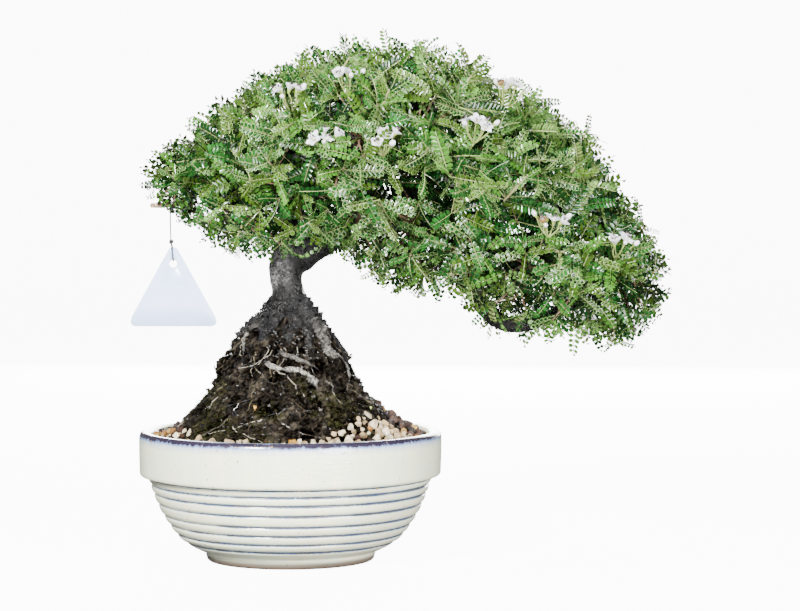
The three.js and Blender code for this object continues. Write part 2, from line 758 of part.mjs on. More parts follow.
function blossomPoint([x, z, side]) {
  const { middle, half, depth } = crownAt(x);
  const height = THREE.MathUtils.clamp((z - middle) / half, -0.97, 0.97);
  return new THREE.Vector3(x, BLOSSOM.depth * side * depth * Math.sqrt(1 - height * height), z);
}

// A cluster: an open flower on a stalk out of the spray behind it, which a second flower branches from.
function blossom(point, host, random) {
  const outward = crownOutward(point);
  const across = new THREE.Vector3().crossVectors(outward, UP).normalize();
  const turn = 2 * Math.PI * random();
  const leans = [0, BLOSSOM.turn].map((angle) => across.clone().applyAxisAngle(outward, turn + angle));
  const centres = leans.map((side) => point.clone().addScaledVector(side, BLOSSOM.apart));
  const axes = leans.map((side) => outward.clone().addScaledVector(side, BLOSSOM.lean).normalize());
  const root = host.centre.clone().lerp(centres[0], STALK.sunk);
  const fork = centres[0].clone().lerp(root, STALK.fork);
  const first = flower(centres[0], axes[0], root);
  const second = flower(centres[1], axes[1], fork);
  return first.add(second).subtract(host.shell);
}

// Tag and cord

function tag() {
  const { width, height, corner, thickness, x, y, top } = TAG;
  const [low, half] = [top - height + corner, width / 2 - corner];
  const corners = [[0, top - corner], [-half, low], [half, low]];
  const outline = new THREE.Shape();
  corners.forEach(([cx, cz], index) => {
    const [px, pz] = corners[(index + 2) % 3];
    const [nx, nz] = corners[(index + 1) % 3];
    const arrive = Math.atan2(cz - pz, cx - px) - Math.PI / 2;
    const leave = Math.atan2(nz - cz, nx - cx) - Math.PI / 2;
    outline.absarc(cx, cz, corner, arrive, leave, false);
  });
  const eye = new THREE.Path();
  eye.absarc(0, TAG_HOLE.z, TAG_HOLE.radius, 0, 2 * Math.PI, true);
  outline.holes.push(eye);
  const options = { depth: thickness, bevelEnabled: false, curveSegments: 4 };
  const plate = new THREE.ExtrudeGeometry(outline, options);
  plate.rotateX(Math.PI / 2);
  plate.translate(x, y + thickness, 0);
  return solidOf(plate);
}

function tagCord() {
  const route = curveThrough(CORD_ROUTE);
  const corners = Array.from({ length: CORD_SIDES }, (_, side) => {
    const angle = (2 * Math.PI * side) / CORD_SIDES;
    return new THREE.Vector2(CORD_RADIUS * Math.cos(angle), CORD_RADIUS * Math.sin(angle));
  });
  const section = new THREE.Shape(corners);
  const steps = Math.round(route.getLength() / (6 * CORD_RADIUS));
  const tube = new THREE.ExtrudeGeometry(section, { steps, extrudePath: route, bevelEnabled: false });
  const knot = new THREE.IcosahedronGeometry(CORD_KNOT.radius, 0);
  knot.translate(CORD_KNOT.x, CORD_KNOT.y, CORD_KNOT.z);
  return solidOf(tube).add(solidOf(knot));
}

// Assembly

const bonsai = new THREE.Group();
bonsai.name = "osteomeles_bonsai";

const coreRandom = seeded(CORE.seed);
const cores = sprayCentres().map((centre) => {
  const ball = pebble(CORE.radius, CORE.unevenness, coreRandom);
  const shellScale = 1 + SEAT_GAP / (0.75 * CORE.radius);
  const shell = ball.clone().scale(shellScale, shellScale, shellScale);
  const at = centre.toArray();
  return { centre, solid: solidOf(ball.translate(...at)), shell: solidOf(shell.translate(...at)) };
});

// The twig that carries a spray starts where a limb comes nearest, on a line that no other spray crosses.
function twigFor(core, grow) {
  const clearOf = ({ point }) => {
    const line = new THREE.Line3(point, core.centre);
    return cores.every((other) => {
      const nearest = line.closestPointToPoint(other.centre, true, new THREE.Vector3());
      return other === core || nearest.distanceTo(other.centre) > CORE_CLEARANCE.twig;
    });
  };
  const away = (fork) => fork.point.distanceTo(core.centre);
  const byDistance = forks.filter(({ bears }) => bears).sort((a, b) => away(a) - away(b));
  const { point } = byDistance.find(clearOf) ?? byDistance[0];
  const short = (1 - TWIG.sunk) * CORE.radius;
  const end = core.centre.clone().lerp(point, short / point.distanceTo(core.centre));
  return limb([[...point.toArray(), TWIG.root], [...end.toArray(), TWIG.tip]], { sides: 3, steps: 1, grow });
}

function limbs(grow) {
  return joined([
    ...woodyPieces(grow),
    limb(LEFT_BRANCH, { sides: 5, steps: 5, grow }),
    limb(RIGHT_BRANCH, { sides: 5, steps: 7, grow }),
    limb(STUB, { sides: 5, steps: 4, grow }),
  ]);
}

const trunk = limbs(0);
const wholeTwigs = cores.map((core) => twigFor(core, 0));

// Each core with its twig, which stops just short of the limb that bears it and of the twigs before it.
let taken = limbs(TWIG.limbGap);
const shoots = cores.map((core, index) => {
  const pieces = joined([core.solid, wholeTwigs[index].subtract(taken)]).decompose();
  taken = taken.add(twigFor(core, TWIG.twigGap));
  return pieces.reduce((most, piece) => (piece.volume() > most.volume() ? piece : most));
});

const soil = rootBall(0).subtract(joined(woodyPieces(SEAT_GAP)));
const bedding = rootBall(SEAT_GAP);

place(bonsai, "pot", pot(), { color: 0xdfe3d4, roughness: 0.25 });
place(bonsai, "soil", soil, { color: 0x2b241c, roughness: 0.95 });
place(bonsai, "gravel_pale", gravelBed(PALE_BED).subtract(bedding), { color: 0xd8cdb8, roughness: 0.9 });
place(bonsai, "gravel_dark", gravelBed(DARK_BED).subtract(bedding), { color: 0x5a3a2a, roughness: 0.9 });
place(bonsai, "trunk", trunk, { color: 0x5b554c, roughness: 0.85 });
place(bonsai, "tag", tag(), { color: 0xf1f0f7, roughness: 0.35 });
place(bonsai, "tag_cord", tagCord(), { color: 0x1b1a1c, roughness: 0.8 });

const bareTwigs = wholeTwigs.map((twig, index) => twig.subtract(cores[index].shell));
const standing = [trunk, ...bareTwigs, tag(), tagCord()].map(boxed);
const coreBoxes = cores.map(({ solid }) => boxed(solid));

const numbered = (name, index) => `${name}_${String(index + 1).padStart(2, "0")}`;

const blossomRandom = seeded(BLOSSOM.seed);
BLOSSOMS.map(blossomPoint).forEach((point, index) => {
  const nearer = (a, b) => (a.centre.distanceTo(point) < b.centre.distanceTo(point) ? a : b);
  const cluster = blossom(point, cores.reduce(nearer), blossomRandom);
  place(bonsai, numbered("blossom", index), cluster, { color: 0xf7f5ee, roughness: 0.6 });
  standing.push(boxed(cluster));
});

const leafRandom = seeded(LEAF_SEED);
const tips = [];
const leaves = cores.map(() => []);
for (let round = 0; round < LEAVES_PER_SPRAY; round += 1) {
  cores.forEach((core, index) => {
    const outward = crownOutward(core.centre);
    const azimuth = LEAF_TURN * index + (2 * Math.PI * round) / LEAVES_PER_SPRAY;
    const otherCores = coreBoxes.filter((_, other) => other !== index);
    const otherLeaves = leaves.filter((_, other) => other !== index).flat();
    const neighbours = [...standing, ...otherCores, ...otherLeaves];
    const blade = bestLeaf(core.centre, outward, azimuth, leafRandom, neighbours, tips);
    if (blade) {
      leaves[index].push(boxed(blade.solid));
      tips.push(blade.tip);
    }
  });
}
shoots.forEach((shoot, index) => {
  const whole = joined([shoot, ...leaves[index].map(({ solid }) => solid)]);
  place(bonsai, numbered("spray", index), whole, { color: 0x3f6a35, roughness: 0.5 });
});

export default bonsai;
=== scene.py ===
"""An osteomeles bonsai in a glazed bowl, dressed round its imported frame.

Shapes are worked out in millimetres and written to the meshes in metres. +Z is up, +Y away from the viewer.
"""

import math

import bmesh
import bpy
import numpy as np
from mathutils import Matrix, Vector, noise
from mathutils.kdtree import KDTree


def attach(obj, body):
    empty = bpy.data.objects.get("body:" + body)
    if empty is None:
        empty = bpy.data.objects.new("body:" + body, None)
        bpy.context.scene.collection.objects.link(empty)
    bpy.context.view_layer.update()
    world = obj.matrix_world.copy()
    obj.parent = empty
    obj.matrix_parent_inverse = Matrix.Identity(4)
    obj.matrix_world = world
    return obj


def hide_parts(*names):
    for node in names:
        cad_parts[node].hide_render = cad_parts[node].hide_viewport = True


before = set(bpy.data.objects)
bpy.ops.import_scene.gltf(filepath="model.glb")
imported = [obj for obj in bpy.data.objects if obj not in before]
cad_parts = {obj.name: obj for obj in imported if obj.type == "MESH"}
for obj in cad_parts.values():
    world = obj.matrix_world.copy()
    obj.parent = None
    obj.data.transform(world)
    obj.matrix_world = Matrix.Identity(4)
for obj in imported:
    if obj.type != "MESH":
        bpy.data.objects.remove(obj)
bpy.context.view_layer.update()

MM = 0.001
GOLDEN_ANGLE = math.radians(137.5)
UP = np.array([0.0, 0.0, 1.0])
LEVEL = np.array([1.0, 1.0, 0.0])

# The camera: where the eye stands, its lens, how many degrees it looks down, and how many metres it sees
EYE = (80, -2000, 282.2)
LENS = 123.6
LOOK_DOWN = 2.777
SIGHT = 50

# The floor: the radii of its middle, of its flat part and of its rise into the wall, and the wall's top
FLOOR_MIDDLE = 20
FLOOR_FLAT = 3500
FLOOR_RISE = 1500
FLOOR_TOP = 5200
FLOOR_BENDS = 12
FLOOR_SIDES = 48
# How brightly the floor and the room glow
FLOOR_GLOW = 10.5
WORLD_GLOW = 0.18

# The lights: place, width and height, power, and the place each faces
TREE = (40, 0, 220)
POT_FRONT = (0, 0, 40)
LIGHTS = {
    "key": ((-900, -1800, 1250), (450, 450), 205, TREE),
    "fill": ((1300, -1800, 400), (900, 900), 112, TREE),
    "top": ((200, 300, 2000), (900, 900), 16, TREE),
    "back": ((200, 1900, 600), (1400, 1000), 90, TREE),
    "low": ((100, -1700, 60), (1200, 200), 30, POT_FRONT),
}

# The bowl's profile: radius and height, and how much of a groove, of the rim and of the bare foot is there
POT_SEGMENTS = 144
POT_FOOT = [
    (0, 0.6, 0, 0, 1), (40, 0.6, 0, 0, 1), (56, 0.4, 0, 0, 1), (57.6, 0, 0, 0, 1), (60, 0, 0, 0, 1),
    (61, 0.9, 0, 0, 1), (61.7, 3.4, 0, 0, 0.9), (62, 6, 0, 0, 0.15), (62.7, 7.5, 0.15, 0, 0.05),
]
POT_BODY = [
    (7.5, 65.5), (12.5, 75), (18.5, 82), (27, 88.3), (36, 93.8), (44.5, 97.7), (53.5, 100.9), (61.5, 103.4),
]
POT_SHOULDER = [
    (102.9, 60.4, 0.6, 0, 0), (103.3, 61, 1, 0, 0), (104.6, 61.5, 0.9, 0, 0), (107, 61.9, 0.25, 0, 0),
    (108.9, 62.5, 0, 0, 0), (109.7, 63.5, 0, 0, 0),
]
POT_LIP = [
    (109.9, 90.9, 0, 0.62, 0), (109.6, 92.1, 0, 0.85, 0), (109, 93.1, 0, 1, 0), (108.1, 93.9, 0, 1, 0),
    (107, 94.35, 0, 0.8, 0), (105.9, 94.5, 0, 0.25, 0), (104.6, 94.4, 0, 0.05, 0), (103, 93.9, 0, 0, 0),
    (102, 93.2, 0, 0, 0),
]
POT_INSIDE = [(101.4, 92.5), (99.5, 66), (87, 38), (66, 18), (0, 12)]
BODY_STEP = 0.62
RING_HEIGHTS = [14.1, 20.1, 26.9, 33.8, 42, 49.5, 55.9]
GROOVE_DEPTH = 1.5
RING_SWELL = 0.35
BAND_RADIUS = 110
BAND_FOOT = 61.5
BAND_WAVE = 0.2
BAND_RINGS = 16
GLAZE_BREAK = 83.5
RIM_HEIGHT = 94.5

# The mound: height, half-width left, half-width right and half-depth
MOUND = np.array([
    (88, 86, 83, 87),
    (110, 68, 66, 69),
    (124, 56.5, 51, 58),
    (140, 53, 44, 51),
    (154, 42.5, 38, 42),
    (167, 34, 26, 31),
])
MOUND_COLUMNS = 330
MOUND_STEP = 1.02
MOUND_LUMPS = 0.035
# Above the table, each ring of the cap as a share of the last row, and its rise
MOUND_CAP = [(0.88, 2.5), (0.77, 5), (0.69, 8), (0.62, 11.5), (0.4, 13)]
SOIL_LEVEL = 88
SOIL_EDGE = [(100.2, 83), (99.6, 87.4), (95, 88), (90, 88)]
SPOTS_FROM = 90
SPOTS_TO = 168
MOSS_FIBRES = 11500
FIBRE_LENGTHS = (1.6, 4.2)
FIBRE_RADIUS = 0.28
ROOTLETS = 230
ROOTLET_TIPS = 0.15
CRUMBS = 1150
CRUMB_SIZES = (0.5, 1.7)
LUMPS = 80
LUMP_SIZES = (0.8, 1.9)

# Trunk and limbs: x, y, z and radius
TRUNK = [
    (-3, 0, 140, 34), (-3.5, 0, 158, 30), (-3, 0, 173, 21.5), (-0.5, 0, 188, 14.5), (-1, 0, 197, 11.5),
    (-3, 0, 207, 12.2), (-1.5, 0, 217, 14), (7, 0, 226, 15), (20, 0, 233, 13.5), (34, 0, 239, 11),
    (50, 2, 245, 9.5), (70, 4, 252, 9), (92, 6, 250, 8.5), (112, 4, 232, 8), (128, 0, 205, 7),
    (141, -4, 184, 6.5), (156, -6, 173, 6), (175, -4, 172, 5), (200, 0, 183, 4), (222, 2, 192, 3),
]
LEFT_BRANCH = [(7, 0, 228, 8), (-5, 3, 258, 6.5), (-34, 3, 280, 5), (-52, 2, 281, 4)]
RIGHT_BRANCH = [
    (36, 1, 240, 8), (50, 1, 272, 7), (90, 2, 290, 6), (130, 2, 278, 5), (172, 0, 252, 4), (206, 0, 228, 3),
]
STUB = [
    (-44, 2, 281, 3.4), (-62, 0, 271, 2.8), (-78, -3, 261, 2.4), (-88, -4.4, 258.6, 2.2), (-101, -5, 258, 2),
]
# Each limb and how many rings it has. The first three carry the crown.
LIMBS = [(TRUNK, 260), (LEFT_BRANCH, 50), (RIGHT_BRANCH, 90), (STUB, 40)]
CARRIERS = 3

# Crown outline: x, bottom, top and half-depth
CROWN = np.array([
    (-103, 267, 294, 14), (-80, 249, 308, 44), (-46, 226, 332, 75), (-10, 222, 359, 92), (8, 222, 370, 96),
    (35, 222, 373, 100), (82, 200, 376, 102), (130, 187, 365, 100), (175, 161, 339, 92), (216, 160, 313, 78),
    (250, 157, 258, 52), (276, 184, 226, 14),
])

# The string's route, from behind the stub over it, down through the tag's hole and back up to its knot
CORD_ROUTE = [
    (-86.2, -1, 257.8), (-86.3, -1.6, 260.9), (-86.4, -4.2, 262.3), (-86.5, -6.9, 260.9), (-86.5, -7.8, 257),
    (-86.5, -8.2, 250), (-86.4, -8.4, 243), (-86.2, -8.5, 236), (-85.8, -9.2, 231), (-85.3, -9.8, 226),
    (-84.8, -9.9, 221), (-84.6, -9.3, 218.6), (-84.5, -7.9, 217.9), (-84.4, -6.5, 218.6), (-84.5, -5.9, 221),
    (-85, -6, 226), (-85.5, -6.7, 229.4), (-85.9, -7.8, 231.6),
]
CORD_RADIUS = 0.5
CORD_RINGS = 150
CORD_SIDES = 12
CORD_TWIST = 4.2
CORD_KNOT = (-85.9, -8.4, 232)
KNOT_RINGS = 90
KNOT_SIDES = 8
TAG = {"width": 63, "height": 57.5, "corner": 4, "thickness": 1, "x": -84.5, "y": -8.4, "top": 228}
TAG_HOLE = {"radius": 2.9, "z": 216}
TAG_BEVEL = 0.25
TAG_POINTS = 160


# Colours and numbers

def linear(code):
    """A colour written as six hex digits, in linear light."""
    parts = [int(code[i:i + 2], 16) / 255 for i in (0, 2, 4)]
    return np.array([p / 12.92 if p <= 0.04045 else ((p + 0.055) / 1.055) ** 2.4 for p in parts])


def palette(codes):
    return np.array([linear(code) for code in codes.split()])


def mixed(a, b, share):
    return a + (b - a) * share


def rise(value, start, end):
    """0 up to start and 1 from end on, even between them. end may lie below start."""
    return np.clip((value - start) / (end - start), 0, 1)


def bell(distance, width):
    return np.exp(-((distance / width) ** 2))


def columns_at(table, place):
    """A table's further columns at a place in its first one."""
    return [np.interp(place, table[:, 0], column) for column in table.T[1:]]


def fractal(points, size, octaves, seed):
    """Smooth noise, about -1 to 1, at points in millimetres. size is the length of its largest waves."""
    shift = Vector((seed, 1.7 * seed, -2.3 * seed))
    return np.array([noise.fractal(Vector(p) / size + shift, 0.6, 2.1, octaves) for p in points])


# Directions and curves

def unit(vectors):
    vectors = np.asarray(vectors, float)
    return vectors / np.maximum(np.linalg.norm(vectors, axis=-1, keepdims=True), 1e-9)


def full_turn(count):
    return np.arange(count) * 2 * math.pi / count


def circle(radius, z, angles):
    x, y = radius * np.cos(angles), radius * np.sin(angles)
    return np.stack([x, y, np.broadcast_to(z, x.shape)], -1)


def spoke(axis, angle):
    """The direction square to an axis at an angle round it."""
    first = unit(np.cross(axis, UP + np.array([0.03, 0.02, 0])))
    return first * math.cos(angle) + np.cross(axis, first) * math.sin(angle)


def nearest(points, spot):
    """The number of the point nearest to a spot."""
    return int(np.argmin(np.linalg.norm(points - spot, axis=1)))


def spline(stations, count):
    """Evenly spaced points on a smooth curve through the stations, whose further columns go along."""
    knots = np.array(stations, float)
    ends = np.vstack([2 * knots[0] - knots[1], knots, 2 * knots[-1] - knots[-2]])
    gaps = np.maximum(np.linalg.norm(np.diff(ends[:, :3], axis=0), axis=1) ** 0.5, 1e-6)
    times = np.concatenate([[0], np.cumsum(gaps)])
    fine = []
    for i in range(1, len(ends) - 2):
        time, points = times[i - 1:i + 3], ends[i - 1:i + 3]
        t = np.linspace(time[1], time[2], 25)[:, None]
        for step in (1, 2):
            points = [mixed(points[k], points[k + 1], (t - time[k]) / (time[k + step] - time[k]))
                      for k in range(4 - step)]
        fine.append(mixed(*points, (t - time[1]) / (time[2] - time[1])))
    fine = np.vstack(fine)
    along = np.concatenate([[0], np.cumsum(np.linalg.norm(np.diff(fine[:, :3], axis=0), axis=1))])
    places = np.linspace(0, along[-1], count)
    return np.stack([np.interp(places, along, column) for column in fine.T], axis=1)


def frames_along(path):
    """Tangents and two steady normals at each point of a path."""
    tangents = unit(np.gradient(path, axis=0))
    helper = UP if abs(tangents[0][2]) < 0.9 else np.array([1.0, 0, 0])
    normal = unit(np.cross(tangents[0], helper))
    normals = []
    for tangent in tangents:
        normal = unit(normal - tangent * (normal @ tangent))
        normals.append(normal)
    normals = np.array(normals)
    return tangents, normals, np.cross(tangents, normals)


# Meshes

def tube(path, radii, sides):
    """A closed tube round a path. radii has a value for each point, or a row of one for each side."""
    path = np.asarray(path, float)
    radii = np.broadcast_to(np.asarray(radii, float).reshape(len(path), -1), (len(path), sides))
    tangents, normals, binormals = frames_along(path)
    angles = full_turn(sides)[:, None]
    ring = normals[:, None] * np.cos(angles) + binormals[:, None] * np.sin(angles)
    points = path[:, None] + ring * radii[:, :, None]
    start = path[0] - tangents[0] * radii[0].mean() * 0.5
    end = path[-1] + tangents[-1] * radii[-1].mean() * 0.5
    return np.vstack([points.reshape(-1, 3), start, end]), tube_faces(len(path), sides)


def tube_faces(rings, sides):
    """Triangles between rings of points, and the fans that close both ends on two further points."""
    ring, side = np.meshgrid(np.arange(rings - 1), np.arange(sides), indexing="ij")
    a = (ring * sides + side).ravel()
    b = (ring * sides + (side + 1) % sides).ravel()
    walls = np.vstack([np.stack([a, b, b + sides], 1), np.stack([a, b + sides, a + sides], 1)])
    side = np.arange(sides)
    last = (rings - 1) * sides
    start = np.stack([np.full(sides, rings * sides), (side + 1) % sides, side], 1)
    end = np.stack([np.full(sides, rings * sides + 1), last + side, last + (side + 1) % sides], 1)
    return np.vstack([walls, start, end])


def shell(grid, thickness):
    """A closed thin sheet from a grid of points, thickness deep behind its upper side."""
    rows, columns = grid.shape[:2]
    normals = unit(np.cross(np.gradient(grid, axis=0), np.gradient(grid, axis=1)))
    points = np.vstack([grid.reshape(-1, 3), (grid - normals * thickness).reshape(-1, 3)])
    low = rows * columns
    index = np.arange(low).reshape(rows, columns)
    a, b, c, d = (x.ravel() for x in (index[:-1, :-1], index[1:, :-1], index[1:, 1:], index[:-1, 1:]))
    top = np.vstack([np.stack([a, b, c], 1), np.stack([a, c, d], 1)])
    edge = np.concatenate([index[:-1, 0], index[-1, :-1], index[1:, -1][::-1], index[0, 1:][::-1]])
    follow = np.roll(edge, -1)
    rim = [np.stack([edge, edge + low, follow + low], 1), np.stack([edge, follow + low, follow], 1)]
    return points, np.vstack([top, top[:, ::-1] + low, *rim])


class Parts:
    """Triangles gathered for one mesh, with a colour and a margin mark at each corner of each."""

    def __init__(self):
        self.points = []
        self.faces = []
        self.colours = []
        self.count = 0

    def add(self, points, faces, colour):
        marked = np.zeros((len(faces), 3, 4))
        marked[..., :3] = colour
        self.add_marked(points, faces, marked)

    def add_marked(self, points, faces, colours):
        self.points.append(points)
        self.faces.append(faces + self.count)
        self.colours.append(colours)
        self.count += len(points)

    def mesh(self):
        return mesh_of(np.vstack(self.points), np.vstack(self.faces))

    def build(self, name, material, sharp, slot, *nodes):
        """The piece, with its sharp edges at more than sharp degrees."""
        mesh = self.mesh()
        paint(mesh, np.vstack(self.colours).reshape(-1, 4))
        if sharp:
            mesh.set_sharp_from_angle(angle=math.radians(sharp))
        placed(name, mesh, material, slot, *nodes)


def mesh_of(points, faces):
    """A smooth mesh from points in millimetres and faces that all have as many corners."""
    mesh = bpy.data.meshes.new("mesh")
    faces = np.asarray(faces, np.int32)
    mesh.vertices.add(len(points))
    move_points(mesh, points)
    mesh.loops.add(faces.size)
    mesh.loops.foreach_set("vertex_index", faces.ravel())
    mesh.polygons.add(len(faces))
    mesh.polygons.foreach_set("loop_start", np.arange(0, faces.size, faces.shape[1], dtype=np.int32))
    mesh.update(calc_edges=True)
    mesh.polygons.foreach_set("use_smooth", np.ones(len(faces), bool))
    return mesh


def move_points(mesh, points):
    mesh.vertices.foreach_set("co", (np.asarray(points, float) * MM).astype(np.float32).ravel())


def rows_of(mesh, value):
    rows = np.empty(len(mesh.vertices) * 3, np.float32)
    mesh.vertices.foreach_get(value, rows)
    return rows.reshape(-1, 3)


def points_of(mesh):
    """A mesh's points in millimetres."""
    return rows_of(mesh, "co").astype(float) / MM


def paint(mesh, colours, name="tint", domain="CORNER"):
    """Gives each corner or point its row of colours or marks."""
    layer = mesh.color_attributes.new(name, "FLOAT_COLOR", domain)
    rows = np.ones((len(colours), 4), np.float32)
    rows[:, :colours.shape[1]] = colours
    layer.data.foreach_set("color", rows.ravel())


def shown(name, mesh, material):
    mesh.name = name
    mesh.materials.append(material)
    piece = bpy.data.objects.new(name, mesh)
    bpy.context.scene.collection.objects.link(piece)
    return piece


def placed(name, mesh, material, slot, *nodes):
    """A piece that rides on the one body, in the given material, and stands for its CAD nodes, which are
    hidden. slot is not used.
    """
    piece = shown(name, mesh, material)
    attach(piece, "root")
    if nodes:
        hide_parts(*nodes)
    return piece


def add_stem(parts, stations, rings, sides, colour):
    """A round stem through stations of x, y, z and radius."""
    path = spline(stations, rings)
    parts.add(*tube(path[:, :3], path[:, 3], sides), colour)


# Materials

PALE_EDGE_AND_HIGHLIGHT_COLOUR = linear("a5c878")
PALE_EDGE_AND_HIGHLIGHT_STRENGTH = 0.68


class Shader:
    """A material, and short calls for the nodes that feed its surface."""

    def __init__(self, name, roughness, **settings):
        self.material = bpy.data.materials.new(name)
        self.material.use_nodes = True
        self.tree = self.material.node_tree
        self.surface = self.tree.nodes["Principled BSDF"]
        self.surface.inputs["Roughness"].default_value = roughness
        for socket, value in settings.items():
            self.surface.inputs[socket.replace("_", " ")].default_value = value
        self.where = self.tree.nodes.new("ShaderNodeTexCoord").outputs["Object"]

    def node(self, kind, inputs, **settings):
        made = self.tree.nodes.new("ShaderNode" + kind)
        for key, value in settings.items():
            setattr(made, key, value)
        for socket, value in inputs.items():
            if isinstance(value, bpy.types.NodeSocket):
                self.tree.links.new(value, made.inputs[socket])
            else:
                made.inputs[socket].default_value = value
        return made

    def feed(self, socket, value):
        self.tree.links.new(value, self.surface.inputs[socket])

    def tint(self, name="tint", output="Color"):
        return self.node("Attribute", {}, attribute_name=name, attribute_type="GEOMETRY").outputs[output]

    def marks(self, name):
        """The three shares painted on the mesh under this name."""
        return self.node("SeparateColor", {"Color": self.tint(name)}).outputs

    def noise(self, size, detail, stretch=None, rough=0.55, distortion=0):
        """Noise whose waves are size millimetres long."""
        where = self.where
        if stretch:
            where = self.node("Mapping", {"Vector": where, "Scale": stretch}).outputs["Vector"]
        inputs = {"Vector": where, "Scale": 1 / (size * MM), "Detail": detail, "Roughness": rough,
                  "Distortion": distortion}
        return self.node("TexNoise", inputs).outputs["Fac"]

    def ramp(self, value, low, high, start=0.0, end=1.0):
        inputs = {"Value": value, "From Min": low, "From Max": high, "To Min": start, "To Max": end}
        return self.node("MapRange", inputs, clamp=True).outputs["Result"]

    def patches(self, size, detail, low, high, start=0.0, end=1.0, **noise_settings):
        """From start to end, as noise with waves of this size goes from low to high."""
        return self.ramp(self.noise(size, detail, **noise_settings), low, high, start, end)

    def math(self, operation, a, b):
        return self.node("Math", {0: a, 1: b}, operation=operation).outputs["Value"]

    def times(self, a, b):
        return self.math("MULTIPLY", a, b)

    def mix(self, share, a, b, blend="MIX"):
        a, b = (c if isinstance(c, bpy.types.NodeSocket) else (*c, 1.0) for c in (a, b))
        return self.node("Mix", {0: share, 6: a, 7: b}, data_type="RGBA", blend_type=blend).outputs[2]

    def shaded_tint(self, share):
        """The mesh's own colour, times a share."""
        grey = self.node("CombineColor", {"Red": share, "Green": share, "Blue": share}).outputs["Color"]
        return self.mix(1.0, self.tint(), grey, "MULTIPLY")

    def bump(self, height, depth):
        """Relief: height from 0 to 1 stands for depth millimetres."""
        inputs = {"Height": height, "Distance": depth * MM, "Strength": 1.0}
        self.feed("Normal", self.node("Bump", inputs).outputs["Normal"])


def glaze_material():
    """Cream glaze, dark and blue where the rim and the ring grooves break through it."""
    s = Shader("glaze", 0.22, Coat_Weight=0.35, Coat_Roughness=0.08, IOR=1.5)
    groove, rim, foot = s.marks("marks")
    base = s.mix(s.patches(38, 3, 0.35, 0.65), linear("eaf3d4"), linear("f4f0cb"))
    base = s.mix(s.patches(9, 3, 0.4, 0.75, 0, 0.35, stretch=(1, 1, 0.18)), base, linear("d2e0d8"))
    base = s.mix(s.patches(60, 2, 0.58, 0.72, 0, 0.4), base, linear("e2d8bd"))
    fine = s.noise(1.6, 4)
    wide_breaks = s.patches(30, 3, 0.36, 0.6, 0.65, 1.1, stretch=(1, 1, 2))
    line = s.times(groove, s.times(wide_breaks, s.ramp(fine, 0.25, 0.6, 0.6, 1.15)))
    line_colour = s.mix(s.patches(14, 2, 0.4, 0.6), linear("2b3a58"), linear("3a3c42"))
    base = s.mix(s.ramp(line, 0.04, 0.45, 0, 0.75), base, linear("8fa6c2"))
    base = s.mix(s.ramp(line, 0.26, 0.58, 0, 0.92), base, line_colour)
    bleed = s.times(rim, s.patches(3, 4, 0.2, 0.8, 0.6, 1.35, stretch=(1, 1, 0.3)))
    base = s.mix(s.ramp(bleed, 0.05, 0.5, 0, 0.9), base, linear("7892c8"))
    base = s.mix(s.ramp(bleed, 0.5, 0.8), base, linear("272130"))
    base = s.mix(s.patches(2.4, 1, 0.755, 0.775, rough=0.3), base, linear("8a6a4a"))
    s.feed("Base Color", s.mix(foot, base, linear("4a3b30")))
    s.feed("Roughness", s.math("MAXIMUM", s.ramp(fine, 0, 1, 0.18, 0.3), s.times(foot, 0.8)))
    s.bump(s.noise(5, 3, stretch=(1, 1, 2.5)), 0.25)
    return s.material


def tinted_material(name, roughness, grain, relief, contrast, **settings):
    """A material that takes its colour from the mesh and varies it at the scale of its grain."""
    s = Shader(name, roughness, **settings)
    coarse = s.patches(grain * 4, 3, 0.3, 0.7, 1 - contrast, 1 + contrast)
    fine = s.patches(grain, 4, 0.25, 0.75, 1 - contrast, 1 + contrast)
    s.feed("Base Color", s.shaded_tint(s.times(coarse, fine)))
    s.bump(s.noise(grain, 5), relief)
    return s.material


def leaf_material():
    """Glossy leaves in the mesh's own colours, a little uneven, each leaflet edged in pale green: its
    silvery hairs and a painted highlight where the edge catches the light.
    """
    s = Shader("leaf", 0.18, Specular_IOR_Level=0.5)
    base = s.shaded_tint(s.patches(1.4, 3, 0.3, 0.7, 0.75, 1.25))
    # Partly painted highlight: the pale edge stands both for the leaflets' hairs and for light caught on
    # their edges.
    edge_and_highlight = s.ramp(s.tint(output="Alpha"), 0.73, 0.86, 0, PALE_EDGE_AND_HIGHLIGHT_STRENGTH)
    s.feed("Base Color", s.mix(edge_and_highlight, base, PALE_EDGE_AND_HIGHLIGHT_COLOUR))
    s.feed("Roughness", s.patches(3, 2, 0.3, 0.7, 0.1, 0.28))
    return s.material


def soil_material():
    """Black-brown muck with painted shade in its hollows and a painted highlight on its crests, and olive
    moss where the mesh says.
    """
    s = Shader("muck", 0.75)
    moss, hollow_shade, crest_highlight = s.marks("moss")
    grain = s.noise(2.0, 5, rough=0.75)
    base = s.mix(s.ramp(grain, 0.45, 0.62), linear("120e0a") * 0.03, linear("332b20") * 0.72)
    base = s.mix(s.patches(9, 3, 0.45, 0.7, 0, 0.6), base, linear("19140e") * 0.3)
    green = s.mix(s.patches(1.6, 4, 0.38, 0.66), linear("12150a") * 0.3, linear("4b4a22") * 0.5)
    base = s.mix(s.times(moss, s.patches(5, 4, 0.3, 0.6, 0.2, 1)), base, green)
    base = s.mix(s.patches(1.1, 2, 0.7, 0.77, 0, 0.7), base, linear("4d473d"))
    # Painted highlight: the crests are lightened.
    base = s.mix(s.times(crest_highlight, 0.6), base, linear("544c3f") * 0.85)
    # Painted shade: the hollows are darkened towards black and reflect less light.
    s.feed("Base Color", s.mix(hollow_shade, base, linear("050403") * 0.2))
    s.feed("Specular IOR Level", s.ramp(hollow_shade, 0, 0.7, 0.13, 0))
    s.feed("Roughness", s.patches(2.5, 3, 0.4, 0.6, 0.3, 0.9))
    s.bump(grain, 1.4)
    return s.material


